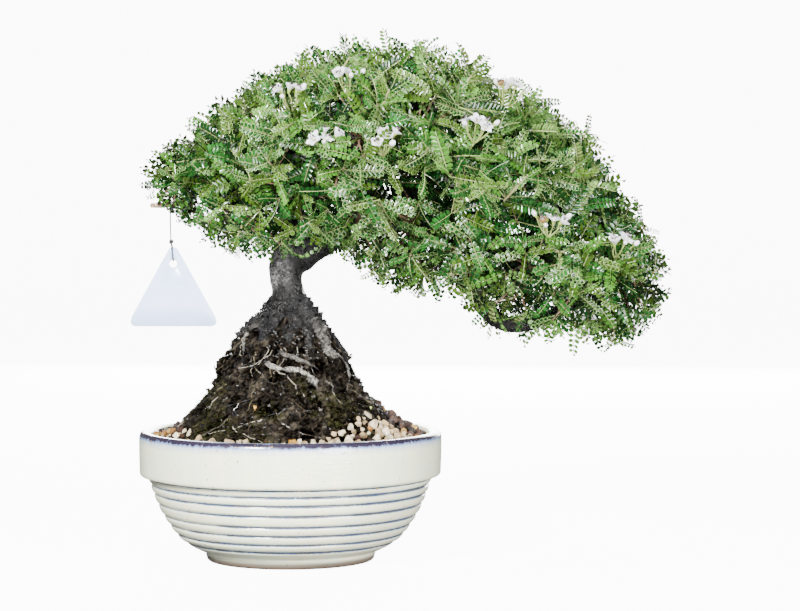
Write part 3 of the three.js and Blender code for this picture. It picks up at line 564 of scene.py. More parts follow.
def bark_material():
    """Grey-black bark, finely wrinkled and pitted, over the mesh's own colour."""
    s = Shader("bark", 0.6, Specular_IOR_Level=0.35)
    wrinkle = s.noise(2.0, 5, rough=0.72, distortion=0.7)
    mottle = s.patches(4.5, 5, 0.34, 0.68, 0.3, 1.9, rough=0.7)
    pits = s.patches(1.9, 3, 0.4, 0.56, 0.35, 1.3)
    base = s.shaded_tint(s.times(mottle, pits))
    base = s.mix(s.ramp(wrinkle, 0.36, 0.56, 0.95, 0), base, linear("0a0807") * 0.4)
    base = s.mix(s.patches(1.1, 2, 0.6, 0.68, 0, 0.75), base, linear("0a0807") * 0.6)
    base = s.mix(s.patches(0.8, 2, 0.64, 0.72, 0, 0.45), base, linear("8a857e"))
    s.feed("Base Color", base)
    s.feed("Roughness", s.patches(3, 3, 0.42, 0.6, 0.18, 0.75))
    s.bump(wrinkle, 1.5)
    return s.material


def string_material():
    """Near-black fibres."""
    s = Shader("string", 0.75)
    fibres = s.noise(0.35, 4)
    s.feed("Base Color", s.mix(s.ramp(fibres, 0.3, 0.7), linear("0d0d0f"), linear("3b3b40")))
    s.bump(fibres, 0.1)
    return s.material


def tag_material():
    """Smooth plastic, white with a blue cast."""
    s = Shader("tag_plastic", 0.35, Coat_Weight=0.2)
    s.feed("Base Color", s.mix(s.patches(25, 2, 0.35, 0.65), linear("c0d6fb"), linear("b8cdf6")))
    s.bump(s.noise(1.5, 2), 0.01)
    return s.material


def floor_material():
    """Matt white paper that glows of its own."""
    s = Shader("paper", 0.9, Emission_Strength=FLOOR_GLOW)
    s.surface.inputs["Base Color"].default_value = (*linear("bcbcbb"), 1)
    s.surface.inputs["Emission Color"].default_value = (1, 1, 1, 1)
    return s.material


# Camera, floor and lights

def make_camera():
    camera = bpy.data.objects.new("camera", bpy.data.cameras.new("camera"))
    camera.data.lens = LENS
    camera.data.clip_end = SIGHT
    camera.location = Vector(EYE) * MM
    camera.rotation_euler = (math.radians(90 - LOOK_DOWN), 0, 0)
    bpy.context.scene.collection.objects.link(camera)
    bpy.context.scene.camera = camera


def make_floor():
    """A pale round floor that curves up into a plain wall all round."""
    profile = [(FLOOR_MIDDLE, 0)]
    for bend in np.linspace(0, 0.5 * math.pi, FLOOR_BENDS):
        profile.append((FLOOR_FLAT + FLOOR_RISE * math.sin(bend), FLOOR_RISE - FLOOR_RISE * math.cos(bend)))
    profile.append((FLOOR_FLAT + FLOOR_RISE, FLOOR_TOP))
    rings = [circle(radius, z, full_turn(FLOOR_SIDES)) for radius, z in profile]
    faces = tube_faces(len(rings), FLOOR_SIDES)[:-FLOOR_SIDES, ::-1]
    floor = shown("floor", mesh_of(np.vstack([*rings, (0, 0, 0)]), faces), floor_material())
    floor.visible_diffuse = False
    floor.visible_glossy = False
    floor.visible_shadow = False


def make_lights():
    for name, (place, size, power, aim) in LIGHTS.items():
        light = bpy.data.lights.new(name, "AREA")
        light.shape = "RECTANGLE"
        light.size, light.size_y = size[0] * MM, size[1] * MM
        light.energy = power
        holder = bpy.data.objects.new(name, light)
        holder.location = Vector(place) * MM
        holder.rotation_euler = (Vector(aim) - Vector(place)).to_track_quat("-Z", "Y").to_euler()
        bpy.context.scene.collection.objects.link(holder)
    world = bpy.context.scene.world or bpy.data.worlds.new("world")
    bpy.context.scene.world = world
    world.use_nodes = True
    world.node_tree.nodes["Background"].inputs["Color"].default_value = (1, 1, 1, 1)
    world.node_tree.nodes["Background"].inputs["Strength"].default_value = WORLD_GLOW


# String and tag

def make_string(tag_piece):
    """The twisted string and its knot."""
    path = spline(CORD_ROUTE, CORD_RINGS)
    length = float(np.linalg.norm(np.diff(path, axis=0), axis=1).sum())
    along = np.linspace(0, length, len(path))[:, None]
    strands = np.cos(full_turn(CORD_SIDES) - 2 * math.pi * along / CORD_TWIST) ** 2
    material = string_material()
    mesh = mesh_of(*tube(path, CORD_RADIUS * (0.84 + 0.2 * strands), CORD_SIDES))
    string = placed("string", mesh, material, "cord", "tag_cord")
    knot = placed("string_knot", knot_mesh(), material, "cord")


def knot_mesh():
    """An overhand knot round both strands: a trefoil of the string, drawn tight."""
    turns = np.linspace(0, 2 * math.pi, KNOT_RINGS, endpoint=False)
    radius = 0.62 * (2 + np.cos(3 * turns)) / 2 * 1.15
    path = np.stack([radius * np.cos(2 * turns), 0.75 * np.sin(3 * turns), radius * np.sin(2 * turns)], -1)
    path = path * 1.25 + np.array(CORD_KNOT)
    path = np.vstack([path, path[0] + (path[0] - path[-1]) * 0.1])
    return mesh_of(*tube(path, np.full(len(path), CORD_RADIUS), KNOT_SIDES))


def tag_outline():
    """The hole's centre, rays all round it, and how far along each the tag's rounded triangle ends."""
    radius = TAG["corner"]
    low = TAG["top"] - TAG["height"] + radius
    half = TAG["width"] / 2 - radius
    corners = np.array([(0, TAG["top"] - radius), (-half, low), (half, low)])
    centre = np.array([0, TAG_HOLE["z"]])
    angles = full_turn(TAG_POINTS) + math.pi / 2
    rays = np.stack([np.cos(angles), np.sin(angles)], -1)
    reach = np.zeros(TAG_POINTS)
    for corner in corners:
        offset = corner - centre
        along = rays @ offset
        inside = radius ** 2 - (offset @ offset - along ** 2)
        reach = np.maximum(reach, np.where(inside >= 0, along + np.sqrt(np.maximum(inside, 0)), 0))
    for here, there in zip(corners, np.roll(corners, -1, axis=0)):
        edge = unit(there - here)
        out = np.array([edge[1], -edge[0]])
        start = here + out * radius
        facing = rays @ out
        distance = np.where(facing > 1e-6, ((start - centre) @ out) / np.maximum(facing, 1e-6), 1e9)
        meet = (centre + rays * distance[:, None] - start) @ edge
        on_edge = (meet >= 0) & (meet <= np.linalg.norm(there - here)) & (distance < 200)
        reach = np.maximum(reach, np.where(on_edge, distance, 0))
    return centre, rays, reach


def make_tag():
    """A blank plate, bevelled at its hole and edge: rings of points over its front, then over its back."""
    centre, rays, reach = tag_outline()
    hole = TAG_HOLE["radius"]
    face = [mixed(hole + TAG_BEVEL, reach - TAG_BEVEL, share) for share in (0, 0.33, 0.66, 1)]
    half = [(hole, TAG_BEVEL), *((distance, 0) for distance in face), (reach, TAG_BEVEL)]
    half = [(distance, TAG["y"] + depth) for distance, depth in half]
    other = [(distance, 2 * TAG["y"] + TAG["thickness"] - y) for distance, y in half[::-1]]
    rings = []
    for distance, y in half + other:
        x, z = (centre + (rays.T * distance).T).T
        rings.append(np.stack([x + TAG["x"], np.full(TAG_POINTS, y), z], -1))
    index = np.arange(len(rings) * TAG_POINTS).reshape(len(rings), TAG_POINTS)
    ahead = np.roll(index, -1, axis=0)
    faces = np.stack([index, ahead, np.roll(ahead, -1, axis=1), np.roll(index, -1, axis=1)], -1)
    mesh = mesh_of(np.vstack(rings), faces.reshape(-1, 4))
    mesh.set_sharp_from_angle(angle=math.radians(50))
    return placed("blank_tag", mesh, tag_material(), "tag_plastic", "tag")


# Bowl

def bowl_profile():
    """Radius, height, groove, rim and foot from under the foot round to the floor inside."""
    body = spline([(height, radius, 0) for height, radius in POT_BODY], 200)
    rows = list(POT_FOOT)
    for z in np.arange(POT_FOOT[-1][1] + 0.8, BAND_FOOT - 1.2, BODY_STEP):
        gap = min(abs(z - h) for h in RING_HEIGHTS)
        above = min((z - h for h in RING_HEIGHTS if z >= h), default=9)
        radius = np.interp(z, body[:, 0], body[:, 1])
        radius += RING_SWELL * bell(above - 3.2, 2.2) - GROOVE_DEPTH * bell(gap, 0.95)
        rows.append((radius, z, bell(gap, 1), 0, 0))
    rows += POT_SHOULDER
    for z in np.linspace(BAND_FOOT + 4, RIM_HEIGHT - 5, BAND_RINGS):
        radius = BAND_RADIUS - BAND_WAVE * math.cos((z - BAND_FOOT) / 7)
        rows.append((radius, z, 0, 0.8 * rise(z, GLAZE_BREAK, RIM_HEIGHT) ** 1.5, 0))
    rows += POT_LIP
    rows += [(r, z, 0, 0, 0) for r, z in POT_INSIDE]
    return np.array(rows)


def groove_strength(angle, z):
    """How dark the ring grooves are painted: most at the front right, near the foot and under the band."""
    facing = np.clip(0.5 + 0.8 * np.cos(angle + math.radians(45)), 0, 1)
    return 0.42 + 0.58 * np.maximum(facing, np.maximum(0.7 * rise(z, 30, 14), rise(z, 60, 61.5)))


def make_bowl():
    """The profile turned round, a little out of true as a thrown bowl is."""
    profile = bowl_profile()
    first, last = profile[0], profile[-1]
    rows = profile[1:-1]
    heights = rows[:, 1:2]
    angles = full_turn(POT_SEGMENTS)[None]
    wobble = 1 + 0.0012 * np.sin(2 * angles + 0.7) + 0.0008 * np.sin(5 * angles + heights / 11)
    rings = circle(rows[:, :1] * wobble, heights, angles)
    points = np.vstack([rings.reshape(-1, 3), (0, 0, first[1]), (0, 0, last[1])])
    mesh = mesh_of(points, tube_faces(len(rows), POT_SEGMENTS)[:, ::-1])
    marks = np.repeat(rows[:, None, 2:], POT_SEGMENTS, axis=1)
    marks[..., 0] *= groove_strength(angles, heights)
    paint(mesh, np.vstack([marks.reshape(-1, 3), first[2:], last[2:]]), "marks", "POINT")
    placed("bowl", mesh, glaze_material(), "glaze", "pot")


# Mound

def mound_sizes(z):
    """The middle, half-width and half-depth of the mound at a height."""
    left, right, depth = columns_at(MOUND, z)
    return (right - left) / 2, (right + left) / 2, depth


def lumps(angle, z):
    """How much wider than its table the mound is in one direction."""
    wave = np.sin(3 * angle + z / 9) + np.sin(5 * angle - z / 7 + 1) + np.sin(7 * angle + z / 5)
    return 1 + MOUND_LUMPS * wave / 3


def mound_point(angle, z, swell=0.0):
    """A point on the mound's surface, or swell millimetres outside it."""
    angle, z = np.asarray(angle, float), np.asarray(z, float)
    middle, half, depth = mound_sizes(z)
    grow = lumps(angle, z)
    x = middle + (half * grow + swell) * np.cos(angle)
    y = (depth * grow + swell) * np.sin(angle)
    return np.stack([x, y, np.broadcast_to(z, x.shape)], -1)


def front_point(x, z, swell=0.0, side=-1):
    """The mound's surface at x and z as seen from the front, or the back with side 1."""
    middle, half, _ = mound_sizes(z)
    across = np.clip((x - middle) / half, -0.985, 0.985)
    return mound_point(side * np.arccos(across), z, swell)


def relief(points):
    """How far the muck's crumbs and hollows stand out from the mound's smooth surface."""
    coarse = fractal(points, 18, 3, 3.1)
    crumbs = np.abs(fractal(points, 6, 3, 8.2))
    grit = fractal(points, 3, 2, 6.6)
    return 2.8 * coarse + 4.0 * (crumbs - 0.25) + 1.1 * grit


def moss_share(points):
    """Where moss grows: low on the mound, more to the left and front, in patches."""
    low = rise(points[:, 2], 142, 102)
    left = rise(points[:, 0], 30, -60)
    patches = fractal(points, 26, 3, 5.5) + 0.35 * fractal(points, 7, 2, 2.5)
    return np.clip(1.7 * (patches + 0.7 * low * (0.4 + 0.75 * left) - 0.26), 0, 1) * np.clip(low * 4, 0, 1)


def make_mound():
    """The soil: up the bowl's wall, level to the mound's foot, and rough all over the mound."""
    angles = full_turn(MOUND_COLUMNS)
    walls = [(r - 0.6, z + 0.4) for r, z in POT_INSIDE[-2:0:-1]]
    rings = [circle(r, z, angles) for r, z in [*walls, *SOIL_EDGE]]
    top = MOUND[-1, 0]
    for z in np.arange(SOIL_LEVEL + 0.5, top + 0.1, MOUND_STEP):
        row = mound_point(angles, z)
        fade = rise(z, SOIL_LEVEL, SOIL_LEVEL + 6)
        rings.append(row + unit(row * LEVEL + UP * 0.5) * (relief(row) * fade)[:, None])
    for share, height in MOUND_CAP:
        row = mound_point(angles, top) * (share, share, 1) + UP * height
        rings.append(row + unit(row * LEVEL) * (1.3 * relief(row))[:, None])
    points = np.vstack([*rings, (0, 0, 12.4), (-4, 0, top + 13)])
    mesh = mesh_of(points, tube_faces(len(rings), MOUND_COLUMNS))
    height = relief(points)
    # The marks: where moss grows, then painted shade in the hollows and a painted highlight on the crests.
    marks = np.column_stack([moss_share(points), rise(height, 0.5, -0.8), rise(height, 1, 2.8)])
    paint(mesh, marks, "moss", "POINT")
    placed("root_ball", mesh, soil_material(), "soil", "soil")


def surface_spots(count, random):
    """Random spots on the mound with their angles, as many at the front as at the back."""
    heights = SPOTS_FROM + (SPOTS_TO - SPOTS_FROM) * random.random(count) ** 1.35
    angles = random.uniform(0, 2 * math.pi, count)
    points = mound_point(angles, heights)
    return points + unit(points * LEVEL + UP * 12) * relief(points)[:, None], angles


def make_moss():
    """Short fibres of moss and fine roots, brown at the top of the mound and olive lower down."""
    random = np.random.default_rng(31)
    spots, angles = surface_spots(MOSS_FIBRES, random)
    share = moss_share(spots)
    kept = random.random(len(spots)) < 0.12 + 0.88 * share
    spots, share, angles = spots[kept], share[kept], angles[kept]
    out = unit(circle(1, 0.35, angles))
    lie = unit(out * 0.55 + random.normal(0, 0.6, spots.shape) + (0, 0, -0.2))
    lengths = random.uniform(*FIBRE_LENGTHS, len(spots))
    browns = palette("060504 1c1710 3c3326 030302")
    greens = palette("10130a 22270f 070904 434520")
    green = random.random(len(spots)) < share * 0.85
    colours = np.where(green[:, None], greens[random.integers(4, size=len(spots))],
                       browns[random.integers(4, size=len(spots))])
    parts = Parts()
    add_spikes(parts, spots - lie * 0.6, lie, lengths, FIBRE_RADIUS, colours, random)
    material = tinted_material("moss", 0.75, 1.2, 0.1, 0.3, Specular_IOR_Level=0.1)
    parts.build("moss", material, None, "soil")


def add_spikes(parts, bases, directions, lengths, radius, colours, random):
    """Thin three-sided spikes, closed at the root."""
    first = unit(np.cross(directions, unit(random.normal(size=bases.shape))))
    second = np.cross(directions, first)
    turns = np.radians((90, 210, 330))
    corners = [bases + radius * (first * math.cos(turn) + second * math.sin(turn)) for turn in turns]
    points = np.stack([*corners, bases + directions * lengths[:, None]], axis=1)
    pattern = np.array([(0, 1, 3), (1, 2, 3), (2, 0, 3), (0, 2, 1)])
    faces = pattern + 4 * np.arange(len(bases))[:, None, None]
    parts.add(points.reshape(-1, 3), faces.reshape(-1, 3), np.repeat(colours, 4, axis=0)[:, None])


def add_rootlets(parts, random):
    """Fine roots that wander down over the muck."""
    tints = palette("57513f 332c22 8a8376 1d1812 100d09 241e16")
    shares = (0.14, 0.2, 0.1, 0.2, 0.18, 0.18)
    for _ in range(ROOTLETS):
        angle, z = random.uniform(0, 2 * math.pi), random.uniform(100, 165)
        heading = random.normal(0, 0.02)
        rows = []
        for _ in range(random.integers(5, 11)):
            rows.append((angle, z))
            heading += random.normal(0, 0.028)
            angle, z = angle + heading, z - random.uniform(0.6, 3.4)
        rows = np.array([row for row in rows if row[1] > SOIL_LEVEL + 1])
        if len(rows) < 4:
            continue
        spots = mound_point(rows[:, 0], rows[:, 1])
        spots = spots + unit(spots * LEVEL) * (relief(spots) + 0.25)[:, None]
        radii = np.linspace(random.uniform(0.25, 0.6), ROOTLET_TIPS, len(spots))
        parts.add(*tube(spots, radii, 4), tints[random.choice(6, p=shares)])


def add_crumbs(parts, random):
    """Glossy crumbs all over the mound, round lumps under the neck, a tan stone and a scrap of green."""
    tints = palette("040302 080604 110e0a 1e1912 3c362c")
    shares = (0.3, 0.3, 0.2, 0.14, 0.06)
    for spot in surface_spots(CRUMBS, random)[0]:
        points, faces = STONES[random.integers(len(STONES))]
        size = random.uniform(*CRUMB_SIZES) * (1 if random.random() < 0.9 else 1.5)
        parts.add(turned(points, random) * size + spot, faces, tints[random.choice(5, p=shares)])
    for _ in range(LUMPS):
        spot = front_point(random.uniform(-14, 27), random.uniform(148, 172), random.uniform(-0.5, 1.5))
        points, faces = BALL
        grown = points * random.uniform(*LUMP_SIZES, 3) * random.uniform(0.7, 1.1)
        parts.add(grown + spot, faces, tints[random.integers(4)])
    for x, z, size, colour in ((-22, 116, 2.4, TAN[0]), (57, 113, 1.5, linear("9fb45a"))):
        points, faces = ROUGH_STONES[0]
        parts.add(points * size + front_point(x, z, 1.6), faces, colour)


def make_rootlets():
    """Everything loose on the muck apart from moss and gravel, in one piece."""
    random = np.random.default_rng(5)
    parts = Parts()
    add_rootlets(parts, random)
    add_crumbs(parts, random)
    parts.build("rootlets", tinted_material("fibre", 0.24, 1.0, 0.15, 0.4), 50, "soil")


# Stones

def hull_stone(corners, random):
    """An angular lump: the hull of random points."""
    work = bmesh.new()
    spots = unit(random.normal(size=(corners, 3))) * random.uniform(0.82, 1.0, (corners, 1))
    for spot in spots * random.uniform(0.72, 1.08, 3):
        work.verts.new(spot)
    bmesh.ops.convex_hull(work, input=work.verts)
    bmesh.ops.delete(work, geom=[v for v in work.verts if not v.link_faces], context="VERTS")
    bmesh.ops.triangulate(work, faces=work.faces)
    return arrays_of(work)


def roughened(points, faces, random):
    """The same lump with each face split in four, its new corners pushed in and out."""
    edges = {}
    extra = []

    def middle(a, b):
        key = (min(a, b), max(a, b))
        if key not in edges:
            edges[key] = len(points) + len(extra)
            extra.append((points[a] + points[b]) / 2 * random.uniform(0.97, 1.14))
        return edges[key]

    split = []
    for a, b, c in faces:
        ab, bc, ca = middle(a, b), middle(b, c), middle(c, a)
        split += [(a, ab, ca), (ab, b, bc), (ca, bc, c), (ab, bc, ca)]
    return np.vstack([points, extra]), np.array(split)


def arrays_of(work):
    work.verts.index_update()
    points = np.array([v.co for v in work.verts])
    faces = np.array([[v.index for v in f.verts] for f in work.faces])
    work.free()
    return points, faces


def ball(subdivisions):
    work = bmesh.new()
    bmesh.ops.create_icosphere(work, subdivisions=subdivisions, radius=1)
    return arrays_of(work)


def turned(points, random):
    """The points turned at random about the origin."""
    w, x, y, z = unit(random.normal(size=4))
    return points @ np.array([
        (1 - 2 * (y * y + z * z), 2 * (x * y - z * w), 2 * (x * z + y * w)),
        (2 * (x * y + z * w), 1 - 2 * (x * x + z * z), 2 * (y * z - x * w)),
        (2 * (x * z - y * w), 2 * (y * z + x * w), 1 - 2 * (x * x + y * y)),
    ]).T


STONE_RANDOM = np.random.default_rng(3)
STONES = [hull_stone(9, STONE_RANDOM) for _ in range(16)]
ROUGH_STONES = [roughened(*hull_stone(15, STONE_RANDOM), STONE_RANDOM) for _ in range(24)]
BALL = ball(2)
PALE = palette("c0b093 b19c7a a89170 cbbda2 927d5b b9a484")
TAN = palette("97702f 866034 a38247")
LAVA = palette("2e1f1a 241814 3d2a22 1b1310 4c362c")

# Each bank of gravel: its two ends in degrees, how many stones are tried, its heaps, and its stones' sizes.
# A heap has an angle, a height and a width.
PALE_BANK = ((172, 344), 5200, [(324, 17, 26), (200, 4, 30), (270, 2, 60)], (2.4, 5.2))
DARK_BANK = ((-16, 172), 6400, [(12, 27, 24), (90, 5, 60), (160, 6, 30)], (3.2, 5.8))
BANK_FOOT = SOIL_LEVEL + 2.5
BANK_REACH = 97.5


def bank_spot(angle, share, heap):
    """A spot on a bank of gravel that falls from the mound to the bowl's wall."""
    z = BANK_FOOT + heap * (1 - share) ** 1.25
    toe = np.hypot(*mound_point(angle, BANK_FOOT + heap)[:2]) - 1.5
    return circle(mixed(toe, BANK_REACH, share), z, angle)


def gravel_spots(bank, random):
    """Places and sizes of stones laid close together on a bank."""
    between, tries, heaps, sizes = bank
    spots = []
    for _ in range(tries):
        degrees = random.uniform(*between)
        heap = sum(height * bell(degrees - at, wide) for at, height, wide in heaps)
        spot = bank_spot(math.radians(degrees), random.random() ** 0.8, heap)
        size = random.uniform(*sizes)
        spot[2] += random.uniform(-1, 1.2)
        if all(np.linalg.norm(spot - other) > 0.8 * (size + s) for other, s in spots):
            spots.append((spot, size))
    return spots


def add_stone(parts, spot, size, colours, tones, random):
    """A stone turned at random, in one of the colours, its brightness between two tones."""
    points, faces = ROUGH_STONES[random.integers(len(ROUGH_STONES))]
    colour = colours[random.integers(len(colours))] * random.uniform(*tones)
    parts.add(turned(points, random) * size + spot, faces, colour)


def make_gravel():
    """Pale pumice along the front, mixed with tan and dark at its ends, and dark lava behind it."""
    random = np.random.default_rng(12)
    pale, dark = Parts(), Parts()
    for spot, size in gravel_spots(PALE_BANK, random):
        if spot[0] < 25 and noise.noise(Vector(spot) / 11) > 0.08:
            continue
        at_end = spot[0] < -62 or spot[0] > 84
        kind = random.choice(3, p=(0.42, 0.3, 0.28) if at_end else (0.88, 0.07, 0.05))
        add_stone(pale, spot, size, (PALE, TAN, LAVA)[kind], (0.85, 1.1), random)
    for spot, size in gravel_spots(DARK_BANK, random):
        add_stone(dark, spot, size, LAVA if random.random() < 0.9 else TAN, (0.8, 1.25), random)
    stones = tinted_material("pumice", 0.9, 1.3, 0.9, 0.42, Specular_IOR_Level=0.2)
    pale.build("pumice_stones", stones, 24, "pumice", "gravel_pale")
    dark.build("lava_stones", tinted_material("lava", 0.75, 0.8, 0.6, 0.4), 24, "lava", "gravel_dark")


# Trunk

ROOTS = [
    # x, height and radius on the front of the mound; how pale the root is; whether it starts in the trunk
    ([(9, 188, 6.5), (16, 173, 5.2), (20.5, 166, 4.7), (25, 158, 4.7), (29, 151.5, 4.4), (35, 150, 2.4),
      (39.5, 144, 1.7), (42, 136, 1.3), (41.5, 129, 1.1), (40, 120, 0.7)], 0.62, True),
    ([(31, 169, 2.4), (37, 161, 3.2), (42.5, 154.5, 3.4), (45, 147, 2.6), (46, 139, 1.4)], 0.0, False),
    ([(-25, 172, 1.6), (-29.5, 166, 2.1), (-32, 158, 2), (-32.6, 151, 1.5), (-32, 145, 1.2), (-34.5, 139, 1),
      (-37.5, 134, 0.7)], 0.75, False),
    ([(-6, 188, 3.5), (-13, 181, 3.2), (-21, 177.5, 2.9), (-26, 175, 2.6), (-31.5, 168, 2.2),
      (-36, 162, 1.4), (-41, 152, 0.9)], 0.1, True),
    ([(-18, 148, 2.7), (-12.7, 145, 2.9), (-6.8, 142.6, 2.4), (0.3, 142.4, 2.6), (8.6, 140.6, 2.5),
      (15.7, 137.4, 2.2), (21.5, 134.1, 1.8), (27.5, 131.7, 1.2)], 1.15, False),
    ([(-8, 155, 1.8), (-3.2, 152.6, 2.6), (3.9, 150.4, 2.7), (10.9, 147.4, 2.5), (18, 143.8, 2.1),
      (23, 140.6, 1.4)], 0.42, False),
    ([(10.9, 131.7, 1.2), (14, 133, 1.6), (18.5, 131.5, 1.5), (21.5, 128, 1.3), (21.5, 122, 0.8)],
     0.9, False),
    ([(22.7, 134.1, 1.2), (27, 133, 1.6), (31.5, 130, 1.5), (32, 127, 1.4), (29.8, 123, 0.9)], 0.85, False),
    ([(15.7, 128.2, 0.7), (21.5, 116.4, 0.7), (26.2, 109.3, 0.6), (27.4, 99.9, 0.4)], 0.6, False),
    ([(-4.4, 133, 1.2), (-3, 128, 1.1), (-2.6, 124, 0.7)], 0.8, False),
    ([(-24.4, 128.2, 0.6), (-21.5, 118.7, 0.5)], 0.9, False),
    ([(-48, 101, 0.8), (-33.8, 104, 1), (-24.4, 104, 1), (-19.7, 102.3, 0.7)], 0.4, False),
    ([(49.8, 121, 0.6), (56.9, 117.5, 0.5), (61.5, 114, 0.4)], 0.7, False),
    ([(-27, 131.5, 0.8), (-21.5, 134.2, 0.9), (-18, 133, 0.6)], 0.95, False),
    ([(-52, 134, 0.7), (-53.3, 128.2, 0.8), (-58, 120, 0.7), (-66, 113, 0.6)], 0.9, False),
    ([(-53, 122, 1.4), (-63, 115.2, 1.7), (-69, 110.5, 1.7), (-75, 104.6, 1.5), (-80, 98, 1)], 0.05, False),
    ([(2, 186, 5), (3, 172, 4.4), (-1, 164, 3.6), (2, 156, 2.2)], 0.0, True),
    ([(-6, 184, 5), (-11, 172, 4.4), (-17, 163, 3.2), (-19, 155, 2)], 0.0, True),
    ([(9, 178, 4), (12, 166, 3.8), (15, 157, 2.6), (20, 150, 1.5)], 0.05, True),
]
BACK_ROOTS = [
    ([(-10, 186, 7), (-17, 173, 6), (-20, 163, 4.6), (-17, 152, 3.8), (-25, 140, 3), (-24, 128, 2.2),
      (-33, 113, 1.2)], 0.3, True),
    ([(8, 186, 7), (16, 173, 5.6), (23, 164, 4.4), (21, 152, 3.6), (30, 141, 2.8), (29, 128, 2),
      (41, 115, 1.2)], 0.4, True),
    ([(-1, 178, 5), (3, 165, 3.8), (-3, 152, 3), (4, 141, 2.2), (2, 127, 1.4)], 0.1, True),
    ([(30, 161, 1.6), (36, 153, 2.2), (34, 144, 1.8), (43, 136, 1.4), (42, 126, 0.9)], 0.7, False),
    ([(-30, 161, 1.6), (-37, 152, 2.2), (-35, 142, 1.6), (-44, 133, 1.3), (-43, 120, 0.8)], 0.75, False),
    ([(-12, 128, 1.2), (-4, 123, 1.8), (6, 125, 1.7), (14, 119, 1.2)], 0.9, False),
]
ROOT_RINGS = 34
SKIN_CELL = 1.5
NECK_FOOT = 182
# x, height and radius of old wounds on the neck's front
SCARS = [(-1.6, 191, 1.6), (-5.5, 190.5, 1.4), (6, 199, 1.2)]
BARK = linear("4d4b4b")
MUCK_AND_SHADE_BARK = linear("0d0b09") * 0.7
ROOT_PALE = linear("b3ada2")
TWIG_BARK = linear("5c4236")
CUT_WOOD = linear("9a8468")


def root_path(route, side, from_trunk):
    """A root laid on the mound: out of the trunk along its surface, or out of the muck."""
    points = []
    for index, (x, z, radius) in enumerate(route):
        sunk = index in (0, len(route) - 1) and not (from_trunk and index == 0)
        crumbs = max(0, float(relief(front_point(x, z, 0, side)[None])[0]))
        spot = front_point(x, z, -1.1 * radius if sunk else 0.2 * radius + 0.6 * crumbs, side)
        inward = rise(z, 160, 186) * 0.68
        points.append((*(spot * (1, 1 - inward, 1)), radius))
    return spline(points, ROOT_RINGS)


def limb_paths():
    """Every limb and root as points with a radius, and how pale its bark is."""
    limbs = [(spline(*limb), None) for limb in LIMBS]
    for side, roots in ((-1, ROOTS), (1, BACK_ROOTS)):
        limbs += [(root_path(route, side, from_trunk), pale) for route, pale, from_trunk in roots]
    return limbs


def bark_colour(station, pale):
    """Grey on the neck, mucky below it, with painted shade under the crown and on the hanging limb, and pale
    on the thin roots.
    """
    x, _, z, radius = station
    if pale is not None:
        bare = rise(z, 178, 168) * np.clip(1.25 - radius / 9, 0.35, 1)
        return mixed(MUCK_AND_SHADE_BARK, ROOT_PALE, pale * bare)
    # Painted shade: the hanging limb and the bark under the crown are darkened.
    hanging = x > 90
    low = 0.0 if hanging else rise(z, 196, 176)
    shaded = 1.4 if hanging else rise(z, 224, 234)
    colour = mixed(mixed(BARK, MUCK_AND_SHADE_BARK, low), BARK * 0.45, shaded)
    return mixed(mixed(colour, TWIG_BARK, rise(x, -56, -64)), CUT_WOOD, rise(x, -92, -96))


def clear_of_muck_shade(points):
    """How far a root is from painted shade: 0 where it meets the muck, 1 where it stands well clear of it or
    above the mound.
    """
    middle, half, depth = mound_sizes(points[:, 2])
    x, y = (points[:, 0] - middle) / half, points[:, 1] / depth
    clear = (np.hypot(x, y) - lumps(np.arctan2(y, x), points[:, 2])) * (half + depth) / 2
    return np.maximum(rise(clear, 0.2, 1.8), rise(points[:, 2], 168, 176))


def make_trunk():
    """One skin round all limbs and roots, cracked and knobbed, with painted light on the neck's left and
    painted shade to the right and near the muck.
    """
    rough = Parts()
    marks = []
    for path, pale in limb_paths():
        sides = 24 if path[:, 3].max() > 7 else 12
        angles, steps = full_turn(sides), np.arange(len(path))[:, None]
        ridges = 1 + 0.06 * np.sin(3 * angles + steps * 0.09) + 0.04 * np.sin(5 * angles - steps * 0.17)
        rough.add(*tube(path[:, :3], path[:, 3:4] * ridges, sides), BARK)
        marks += [(station, bark_colour(station, pale)) for station in path[::2]]
    mesh = joined_skin(rough.mesh(), SKIN_CELL)
    points = points_of(mesh)
    height, crack = bark_relief(points)
    points = points + rows_of(mesh, "normal") * height[:, None]
    move_points(mesh, points)
    mesh.update()
    colours = nearest_colours(points, marks) * (1 - 0.55 * crack)[:, None]
    # Painted shade: the bark darkens to mucky black where the roots meet the muck.
    colours = mixed(MUCK_AND_SHADE_BARK, colours, clear_of_muck_shade(points)[:, None])
    x, z = points[:, 0], points[:, 2]
    # Painted light and shade: above the neck's foot the left is painted lighter and the right darker; below
    # it the bark is darkened evenly. It is also darker towards the foot of the neck.
    ragged_height = z + 9 * fractal(points, 9, 3, 7.1)
    left = rise(x, 4, -10) * rise(ragged_height, 190, 204)
    base = rise(ragged_height, 204, 188) * rise(z, 150, 160)
    lit = np.where(z > NECK_FOOT, 0.03 + 2.0 * left, 0.72)
    paint(mesh, colours * (lit * (1 - 0.4 * base))[:, None], "tint", "POINT")
    placed("bark", mesh, bark_material(), "bark", "trunk")


def joined_skin(overlapping, cell):
    """One closed skin round overlapping pieces, in cells of this size."""
    rough = shown("rough", overlapping, None)
    remesh = rough.modifiers.new("union", "REMESH")
    remesh.mode = "VOXEL"
    remesh.voxel_size = cell * MM
    mesh = bpy.data.meshes.new_from_object(rough.evaluated_get(bpy.context.evaluated_depsgraph_get()))
    bpy.data.objects.remove(rough)
    mesh.materials.clear()
    mesh.polygons.foreach_set("use_smooth", np.ones(len(mesh.polygons), bool))
    return mesh


